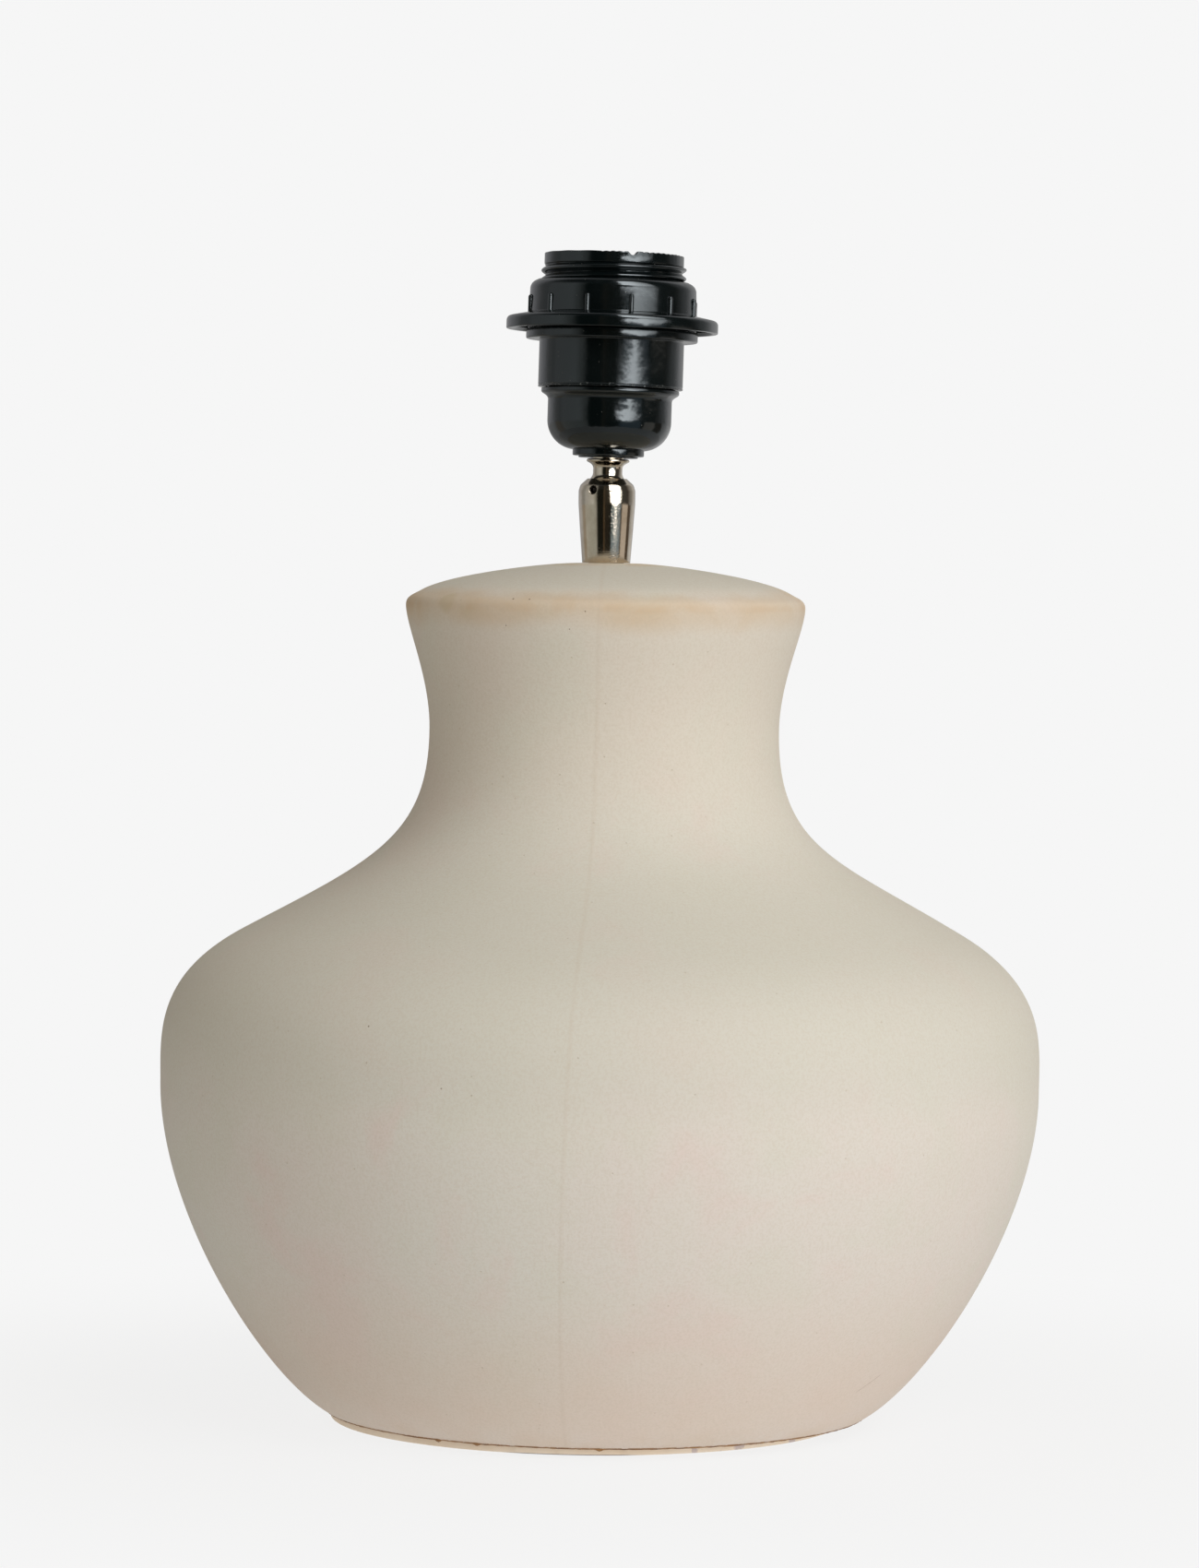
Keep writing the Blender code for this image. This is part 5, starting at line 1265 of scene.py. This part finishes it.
def make_ball_stud(finishes):
    """Nickel ball with its waisted neck, crowned flange and threaded end."""
    flange_top = STUD_FLANGE_RISE + STUD_FLANGE_EDGE + STUD_FLANGE_CROWN
    tip = flange_top + SPIGOT_LENGTH
    undercut = flange_top + UNDERCUT_HEIGHT
    fillet = (BALL_RADIUS * math.cos(NECK_BLEND) - NECK_STUD_RADIUS) / (1 - math.cos(NECK_BLEND))
    neck_foot = (BALL_RADIUS + fillet) * math.sin(NECK_BLEND)
    ball_end = -math.asin(BALL_FLAT_DROP / BALL_RADIUS)
    thread_low = undercut + STUD_THREAD_START
    crown = STUD_FLANGE_RADIUS - STUD_FLANGE_CROWN
    loop = [(STUD_BORE_RADIUS, tip)] + run((STUD_THREAD_RADIUS, tip), (STUD_THREAD_RADIUS, thread_low), 60)
    loop += [(UNDERCUT_RADIUS, undercut - UNDERCUT_HEIGHT / 2), (UNDERCUT_RADIUS, flange_top)]
    loop += rounded([(STUD_FLANGE_INNER_RADIUS, flange_top), (crown, flange_top, STUD_CROWN_ROUNDING),
                     (STUD_FLANGE_RADIUS, STUD_FLANGE_RISE + STUD_FLANGE_EDGE, STUD_EDGE_ROUNDING),
                     (STUD_FLANGE_RADIUS, STUD_FLANGE_RISE, STUD_EDGE_ROUNDING),
                     (STUD_FLANGE_RADIUS - STUD_FLARE_INSET, STUD_FLANGE_RISE - STUD_FLARE_DROP)], 4)
    flare = sweep((NECK_STUD_RADIUS, NECK_TOP - STUD_FLARE_FOOT), math.pi / 2,
                  (STUD_FLANGE_RADIUS, STUD_FLANGE_RISE), STUD_FLARE_SLOPE, STUD_FLARE_SHARES, 16)
    loop += flare[-3::-1]
    loop += arc((NECK_STUD_RADIUS + fillet, neck_foot), fillet, math.pi, math.pi + NECK_BLEND, 10)
    loop += arc((0, 0), BALL_RADIUS, NECK_BLEND, ball_end, 56)[1:]
    loop += [(STUD_BORE_RADIUS + STUD_BORE_FLARE, -BALL_FLAT_DROP),
             (STUD_BORE_RADIUS, -BALL_FLAT_DROP + STUD_BORE_FLARE)]

    def shape(radius, height, angle):
        wave = thread_wave(height, angle, STUD_THREAD_PITCH, thread_low)
        wave = (1 - wave) * ease(height, tip, tip - STUD_THREAD_LEAD)
        cutting = (height > thread_low - NEAR) & (radius > STUD_THREAD_RADIUS - NEAR)
        thread = np.where(cutting, STUD_THREAD_DEPTH * wave, 0)
        off = np.abs((angle - PIN_AZIMUTH) % math.tau - math.pi)
        low = PIN_RISE - GROOVE_HALF_HEIGHT
        high = PIN_RISE + GROOVE_HALF_HEIGHT
        milled = ease(height, low - GROOVE_EDGE, low) * ease(height, high + GROOVE_EDGE, high)
        milled = milled * ease(off, GROOVE_STOP_HALF_ANGLE - GROOVE_STOP_SLOPE, GROOVE_STOP_HALF_ANGLE)
        reach = np.hypot(radius, height)
        on_ball = (np.abs(reach - BALL_RADIUS) < 10 * NEAR) & (height < high + 2 * GROOVE_EDGE)
        sunk = np.where(on_ball, milled * (BALL_RADIUS - GROOVE_FLOOR_RADIUS) / BALL_RADIUS, 0)
        return (radius - thread) * (1 - sunk), height * (1 - sunk)

    mesh = revolve("ball_neck", loop, 128, shape)
    add_piece("ball_neck", mesh, finishes["nickel"], "holder", ["ball_stud"], HOLDER_PLACE)


def make_cup(finishes):
    """Moulded cup of the lampholder, with its stepped boss and threaded spigot."""
    boss_bottom = CUP_BOTTOM + CUP_STEP_HEIGHT
    boss_top = boss_bottom + BOSS_HEIGHT
    arc_level = boss_top + CUP_ROUNDING
    flare_level = arc_level + CUP_STRAIGHT
    band_level = flare_level + CUP_FLARE_RISE
    band_top = band_level + CUP_BAND_HEIGHT
    centre = (CUP_RADIUS - CUP_ROUNDING, arc_level)
    meet = math.acos((BOSS_RADIUS - centre[0]) / CUP_ROUNDING)
    pocket_floor = CUP_BOTTOM + BUSH_POCKET_FLOOR
    collar = BUSH_POCKET_RADIUS + BUSH_COLLAR_WALL
    collar_top = pocket_floor + BUSH_POCKET_HEIGHT
    lining = CUP_ROUNDING - CUP_WALL
    inner_start = math.acos((collar - centre[0]) / lining)
    spigot_bore = CUP_SPIGOT_RADIUS - CUP_WALL
    loop = run((CUP_SPIGOT_RADIUS, CUP_TOP), (CUP_SPIGOT_RADIUS, band_top), 40)
    loop += rounded([(CUP_SPIGOT_RADIUS + STEP, band_top), (CUP_BAND_RADIUS, band_top, CUP_BAND_ROUNDING),
                     (CUP_BAND_RADIUS, band_level, CUP_BAND_FOOT_ROUNDING),
                     (CUP_BAND_RADIUS - CUP_BAND_INSET, band_level - CUP_BAND_INSET)], 4)
    loop += sweep((CUP_RADIUS, flare_level), math.pi / 2, (CUP_BAND_RADIUS, band_level),
                  CUP_FLARE_SLOPE, CUP_FLARE_SHARES, 14)[-4::-1]
    loop += arc(centre, CUP_ROUNDING, 0, -meet, 26)
    loop += rounded([(BOSS_RADIUS - STEP, boss_top), (BOSS_RADIUS, boss_top - STEP),
                     (BOSS_RADIUS, boss_bottom, BOSS_ROUNDING),
                     (CUP_STEP_RADIUS, boss_bottom, CUP_STEP_FILLET),
                     (CUP_STEP_RADIUS, CUP_BOTTOM, CUP_STEP_ROUNDING), (ROD_HOLE_RADIUS, CUP_BOTTOM)], 4)[2:]
    loop += [(ROD_HOLE_RADIUS, pocket_floor), (BUSH_POCKET_RADIUS, pocket_floor),
             (BUSH_POCKET_RADIUS, collar_top), (collar, collar_top)]
    loop += arc(centre, lining, -inner_start, 0, 14)
    loop += [(CUP_RADIUS - CUP_WALL, flare_level), (spigot_bore, band_level), (spigot_bore, CUP_TOP)]

    def thread(radius, height, angle):
        wave = thread_wave(height, angle, CUP_THREAD_PITCH, band_top)
        cutting = (radius > CUP_SPIGOT_RADIUS - NEAR) & (height > band_top + NEAR)
        return radius - np.where(cutting, CUP_THREAD_DEPTH * (1 - wave), 0), height

    mesh = revolve("cup_shell", loop, 160, thread)
    add_piece("cup_shell", mesh, finishes["black_moulding"], "holder", ["holder_cup"],
              HOLDER_PLACE)


def rim_drop(angle):
    """Give how far the sleeve's rim lies below its full height: its notch and its nibbled edge."""
    off = (angle - NOTCH_AZIMUTH + math.pi) % math.tau - math.pi
    across = np.abs(off) * LIP_RADIUS
    notch = NOTCH_DEPTH * (1 - ease(across, NOTCH_HALF_WIDTH * NOTCH_FLAT_SHARE, NOTCH_HALF_WIDTH))
    teeth = np.abs(np.sin(31 * angle + 0.6)) ** 0.6
    worn = sum(share * ease(off, *start) * ease(off, *end) for share, start, end in WORN_STRETCHES)
    chips = CHIP_DEPTH * worn * (1 - teeth)
    return notch + chips + waves(RIM_WAVES, angle) + crest(RIM_WAVES)


def make_sleeve(finishes):
    """Moulded sleeve: barrel, shoulder collar and threaded skirt, with the lamp's thread inside."""
    wall = BARREL_RADIUS - SLEEVE_WALL
    tube = LAMP_BORE_RADIUS + LAMP_TUBE_WALL
    rim = LIP_RADIUS - RIM_WALL
    funnel_top = SLEEVE_TOP - RIM_INNER_HEIGHT
    funnel_foot = funnel_top - FUNNEL_DEPTH
    tube_bottom = SLEEVE_BOTTOM + LAMP_TUBE_RISE
    web = funnel_foot - LAMP_TUBE_WALL
    loop = rounded([(rim, SLEEVE_TOP - RIM_INNER_DROP), (rim, SLEEVE_TOP, RIM_ROUNDING),
                    (LIP_RADIUS, SLEEVE_TOP, RIM_ROUNDING), (LIP_RADIUS, SKIRT_TOP + SKIRT_EDGE, SKIRT_EDGE),
                    (SKIRT_ROOT_RADIUS, SKIRT_TOP, SKIRT_EDGE), (SKIRT_ROOT_RADIUS, COLLAR_TOP)], 4)[:-1]
    loop += run((SKIRT_ROOT_RADIUS, SKIRT_TOP - SKIRT_EDGE), (SKIRT_ROOT_RADIUS, COLLAR_TOP), 150)
    flash = [(BARREL_RADIUS + out, SLEEVE_BOTTOM + up, rounding) for out, up, rounding in FLASH_LINE]
    loop += rounded([(SKIRT_ROOT_RADIUS + COLLAR_FILLET, COLLAR_TOP),
                     (COLLAR_RADIUS, COLLAR_TOP, COLLAR_TOP_ROUNDING),
                     (COLLAR_RADIUS, COLLAR_BOTTOM, COLLAR_ROUNDING),
                     (BARREL_RADIUS, COLLAR_BOTTOM, COLLAR_FILLET), *flash, (wall, SLEEVE_BOTTOM),
                     (wall, web), (tube, web), (tube, tube_bottom),
                     (LAMP_BORE_RADIUS + 2 * STEP, tube_bottom)], 5)
    loop += run((LAMP_BORE_RADIUS, tube_bottom + STEP), (LAMP_BORE_RADIUS, funnel_foot), 110)
    loop += [(rim, funnel_top)]

    def shape(radius, height, angle):
        outer = (np.abs(radius - SKIRT_ROOT_RADIUS) < NEAR) & (height > COLLAR_TOP)
        thread = thread_wave(height, angle, SKIRT_PITCH, SKIRT_CREST_LEVEL, SKIRT_SHARPNESS)
        thread = thread * ease(height - COLLAR_TOP, *SKIRT_THREAD_START)
        inner = np.abs(radius - LAMP_BORE_RADIUS) < NEAR
        roll = thread_wave(height, angle, LAMP_PITCH, tube_bottom)
        roll = roll * ease(height - tube_bottom, *LAMP_THREAD_START)
        roll = roll * ease(height, funnel_foot, funnel_foot - LAMP_THREAD_END)
        upper = ease(height, SKIRT_TOP + RIM_WEAR_START, SLEEVE_TOP) * (radius > rim - 10 * NEAR)
        radius = radius + np.where(outer, (SKIRT_CREST_RADIUS - SKIRT_ROOT_RADIUS) * thread, 0)
        radius = radius - np.where(inner, (LAMP_BORE_RADIUS - LAMP_CREST_RADIUS) * roll, 0)
        return radius, height - upper * rim_drop(angle)

    mesh = revolve("sleeve_shell", loop, 288, shape)
    add_piece("sleeve_shell", mesh, finishes["black_moulding"], "holder",
              ["holder_sleeve"], HOLDER_PLACE)


def make_ring(finishes):
    """Shade ring with its hollow flange and the thread in its bore."""
    deck = RING_BOTTOM + FLANGE_RISE
    under = deck - FLANGE_THICKNESS
    low = RING_LOWEST
    inside = FLANGE_RADIUS - FLANGE_RIM_WALL
    bore_top = RING_TOP - RING_BORE_CHAMFER
    loop = [(RING_BORE_RADIUS + RING_BORE_CHAMFER, RING_TOP)]
    hub_top = RING_HUB_RADIUS - HUB_DRAFT
    loop += arc((hub_top - RING_TOP_ROUNDING, RING_TOP - RING_TOP_ROUNDING), RING_TOP_ROUNDING,
                HUB_TOP_ARC, 0, 12)
    loop += rounded([(hub_top, RING_TOP - HUB_SIDE_DROP), (RING_HUB_RADIUS, deck, RING_EDGE_ROUNDING),
                     (FLANGE_RADIUS, deck - FLANGE_FALL, FLANGE_ROUNDING),
                     (FLANGE_RADIUS, low + FLANGE_EDGE_HEIGHT)], 12)[:-1]
    loop += rounded([(FLANGE_RADIUS, low + FLANGE_EDGE_HEIGHT), (FLANGE_RADIUS, low, RING_EDGE_ROUNDING),
                     (inside + FLANGE_RIM_CHAMFER, low, RING_EDGE_ROUNDING),
                     (inside, low + FLANGE_RIM_CHAMFER, RING_EDGE_ROUNDING),
                     (inside, under, FLANGE_RIM_CHAMFER), (RING_HUB_RADIUS, under, RING_EDGE_ROUNDING),
                     (RING_HUB_RADIUS, RING_BOTTOM, RING_FOOT_ROUNDING),
                     (RING_BORE_RADIUS, RING_BOTTOM)], 4)[1:-1]
    loop += run((RING_BORE_RADIUS, RING_BOTTOM), (RING_BORE_RADIUS, bore_top), 90)

    def thread(radius, height, angle):
        cutting = np.abs(radius - RING_BORE_RADIUS) < NEAR
        wave = thread_wave(height, angle, SKIRT_PITCH, SKIRT_CREST_LEVEL)
        wave = wave * ease(height - RING_BOTTOM, *RING_THREAD_START)
        wave = wave * ease(bore_top - height, *RING_THREAD_END)
        return radius + np.where(cutting, RING_THREAD_DEPTH * wave, 0), height

    mesh = revolve("ring_shell", loop, 216, thread)
    add_piece("ring_shell", mesh, finishes["black_moulding"], "shade_ring", ["shade_ring"],
              HOLDER_PLACE)


def make_ribs(finishes):
    """Grip ribs round the hub of the shade ring, each a rounded bar with a round top."""
    deck = RING_BOTTOM + FLANGE_RISE
    inputs = [("Count", "Int", RIB_COUNT), ("Hub Radius", "Float", RING_HUB_RADIUS),
              ("Width", "Float", RIB_WIDTH), ("Stand", "Float", RIB_STAND), ("Height", "Float", RIB_HEIGHT),
              ("Deck Level", "Float", deck), ("First Azimuth", "Float", RIB_AZIMUTH)]
    tree, given = start_tree("grip_ribs", inputs)
    flow = Flow(tree)
    depth = given["Stand"] * RIB_DEPTH_SHARE
    outline = flow.node("GeometryNodeCurvePrimitiveQuadrilateral", {},
                        {"Width": depth, "Height": given["Width"]})
    outline = flow.node("GeometryNodeFilletCurve", {"mode": "POLY"},
                        {"Curve": outline, "Radius": given["Width"] * RIB_ROUNDING_SHARE, "Count": 6})
    low = flow.node("ShaderNodeCombineXYZ", {}, {"Z": given["Deck Level"] - RIB_SINK})
    high = flow.node("ShaderNodeCombineXYZ", {}, {"Z": given["Deck Level"] + given["Height"]})
    line = flow.node("GeometryNodeCurvePrimitiveLine", {}, {"Start": low, "End": high})
    line = flow.node("GeometryNodeResampleCurve", {}, {"Curve": line, "Count": 26})
    level = flow.node("GeometryNodeInputPosition").part("Z")
    below_top = (given["Deck Level"] + given["Height"] - level) / (given["Width"] * RIB_TOP_SHARE)
    kept = 1.0 - below_top.least(1.0)
    round_top = (1.0 - kept * kept).most(RIB_TIP_SHARE).power(0.5)
    bar = flow.node("GeometryNodeCurveToMesh", {}, {"Curve": line, "Profile Curve": outline,
                                                    "Scale": round_top, "Fill Caps": True})
    centre = given["Hub Radius"] + given["Stand"] - depth * 0.5
    aside = flow.node("ShaderNodeCombineXYZ", {}, {"X": centre})
    bar = flow.node("GeometryNodeTransform", {}, {"Geometry": bar, "Translation": aside})
    spots = flow.node("GeometryNodeMeshLine", {}, {"Count": given["Count"], "Offset": (0.0, 0.0, 0.0)})
    number = flow.node("GeometryNodeInputIndex")
    turn = number * (math.tau / RIB_COUNT) + given["First Azimuth"]
    turning = flow.node("ShaderNodeCombineXYZ", {}, {"Z": turn})
    placed = flow.node("GeometryNodeInstanceOnPoints", {}, {"Points": spots, "Instance": bar,
                                                            "Rotation": turning})
    mesh = bake_tree("ring_ribs", tree, placed, finishes["black_moulding"], inputs)
    add_piece("ring_ribs", mesh, finishes["black_moulding"], "shade_ring", (),
              HOLDER_PLACE)


def dress_frame(finishes):
    """Give each solid that stays in view the finish of its slot."""
    for row in frame["record"]["subparts"]:
        node = frame["nodes"][row["node"]]
        if not node.hide_render:
            node.data.materials.clear()
            node.data.materials.append(finishes[row["material_slot"]])


def make_camera():
    """Set the camera in front of the lamp, and turn it a little down and aslant."""
    data = bpy.data.cameras.new("camera")
    data.sensor_fit = "VERTICAL"
    data.sensor_height = SENSOR_HEIGHT
    data.lens = CAMERA_LENS
    data.clip_end = CAMERA_REACH
    camera = bpy.data.objects.new("camera", data)
    bpy.context.scene.collection.objects.link(camera)
    camera.matrix_world = (Matrix.Translation((-CAMERA_OFFSET, -CAMERA_DISTANCE, CAMERA_HEIGHT))
                           @ Matrix.Rotation(math.pi / 2 - CAMERA_PITCH, 4, "X")
                           @ Matrix.Rotation(CAMERA_ROLL, 4, "Z"))
    bpy.context.scene.camera = camera


def make_key():
    """Hang the large soft key light at the right of the camera."""
    data = bpy.data.lights.new("key", "AREA")
    data.shape = "RECTANGLE"
    data.size = KEY_WIDTH
    data.size_y = KEY_HEIGHT
    data.energy = KEY_RADIANCE * math.pi * KEY_WIDTH * KEY_HEIGHT
    light = bpy.data.objects.new("key", data)
    light.visible_glossy = False
    bpy.context.scene.collection.objects.link(light)
    toward = Vector((math.sin(KEY_AZIMUTH) * math.cos(KEY_ELEVATION),
                     -math.cos(KEY_AZIMUTH) * math.cos(KEY_ELEVATION), math.sin(KEY_ELEVATION)))
    aim = Vector((0, 0, KEY_AIM_LEVEL))
    turn = toward.to_track_quat("Z", "Y").to_matrix().to_4x4()
    light.matrix_world = Matrix.Translation(aim + toward * KEY_DISTANCE) @ turn


def make_floor():
    """Lay the white light table, which keeps a faint shadow and fades into the background."""
    made = bpy.data.materials.new("stage_floor")
    made.use_nodes = True
    tree = made.node_tree
    tree.nodes.clear()
    flow = Flow(tree)
    place = flow.node("ShaderNodeTexCoord", {}, {}, "Object")
    away = flow.node("ShaderNodeVectorMath", {"operation": "LENGTH"}, {0: place}, "Value")
    seen = flow.seen()
    plain = away.eased(*FLOOR_SHADOW_REACH) * FLOOR_SHADOW_SHARE + (1.0 - FLOOR_SHADOW_SHARE)
    lit = place.part("X").eased(*FLOOR_GLOW_SIDES) * FLOOR_GLOW_ADDED_SHARE + FLOOR_GLOW_LEFT_SHARE
    lit = (lit + away.eased(*FLOOR_GLOW_REACH) * FLOOR_GLOW_AT_FOOT_SHARE).least(1.0)
    share = seen * plain + (1.0 - seen) * lit
    matte = flow.node("ShaderNodeBsdfDiffuse", {}, {"Color": FLOOR_COLOUR})
    glow = flow.node("ShaderNodeEmission", {}, {"Color": (BACKGROUND, BACKGROUND, BACKGROUND, 1.0)})
    both = flow.node("ShaderNodeMixShader", {}, {0: share, 1: matte, 2: glow})
    dimmed = flow.ray("Glossy") * FLOOR_GLOSSY_LOSS_SHARE
    both = flow.node("ShaderNodeMixShader", {}, {0: dimmed, 1: both})
    end = tree.nodes.new("ShaderNodeOutputMaterial")
    tree.links.new(both.socket, end.inputs["Surface"])
    bm = bmesh.new()
    bmesh.ops.create_circle(bm, cap_ends=True, segments=96, radius=FLOOR_RADIUS)
    mesh = bpy.data.meshes.new("floor")
    bm.to_mesh(mesh)
    bm.free()
    mesh.materials.append(made)
    floor = bpy.data.objects.new("floor", mesh)
    floor.location.z = -FLOOR_DROP
    bpy.context.scene.collection.objects.link(floor)


def make_world():
    """Light the room: an even warm fill, and for glossy surfaces its walls and bright panel."""
    world = bpy.data.worlds.new("studio")
    bpy.context.scene.world = world
    world.use_nodes = True
    tree = world.node_tree
    tree.nodes.clear()
    flow = Flow(tree)
    toward = flow.node("ShaderNodeTexCoord", {}, {}, "Generated")
    azimuth = toward.azimuth() * (180 / math.pi)
    height = toward.part("Z")

    def room_ramp(column):
        stops = [(row[0] / 360 + 0.5, (*row[column], 1.0)) for row in ROOM]
        return flow.node("ShaderNodeValToRGB", {"stops": stops}, {"Fac": azimuth / 360 + 0.5})

    room = height.eased(*HORIZON).mixed(room_ramp(2), room_ramp(1))
    above = height.eased(*CEILING_RISE) * azimuth.magnitude().eased(*CEILING_SIDES)
    room = above.mixed(room, CEILING_COLOUR)
    narrowing = height.eased(*PANEL_NARROWING)
    dip = height.eased(*PANEL_DIP_FOOT) * height.eased(*PANEL_DIP_HEAD)
    left = azimuth - narrowing * PANEL_LEFT_TAPER - dip * PANEL_DIP_TAPER
    right = azimuth + narrowing * PANEL_RIGHT_TAPER
    panel = left.eased(*PANEL_LEFT) * right.eased(*PANEL_RIGHT) * azimuth.eased(*PANEL_FADE)
    panel = panel * height.eased(*PANEL_FOOT) * height.eased(*PANEL_HEAD)
    panel = panel * (1.0 - dip * PANEL_DIP_SHARE)
    room = panel.mixed(room, (PANEL_RADIANCE, PANEL_RADIANCE, PANEL_RADIANCE, 1.0))
    dim = [value * FILL_BEHIND_SHARE for value in FILL_COLOUR[:3]] + [1.0]
    fill = azimuth.eased(*FILL_BEHIND_DEGREES).mixed(FILL_COLOUR, dim)
    light = flow.ray("Glossy").mixed(fill, room)
    shown = flow.seen().mixed(light, (BACKGROUND, BACKGROUND, BACKGROUND, 1.0))
    back = flow.node("ShaderNodeBackground", {}, {"Color": shown, "Strength": 1.0})
    end = tree.nodes.new("ShaderNodeOutputWorld")
    tree.links.new(back.socket, end.inputs["Surface"])


def build():
    """Build every piece, then the stage round them."""
    finishes = make_finishes()
    make_body(finishes)
    make_cord_bush(finishes)
    make_foot(finishes)
    make_glue(finishes)
    make_socket(finishes)
    make_pin(finishes)
    make_ball_stud(finishes)
    make_cup(finishes)
    make_sleeve(finishes)
    make_ring(finishes)
    make_ribs(finishes)
    dress_frame(finishes)
    make_floor()
    make_world()
    make_key()
    make_camera()
    bpy.context.scene.view_settings.view_transform = "Standard"


build()
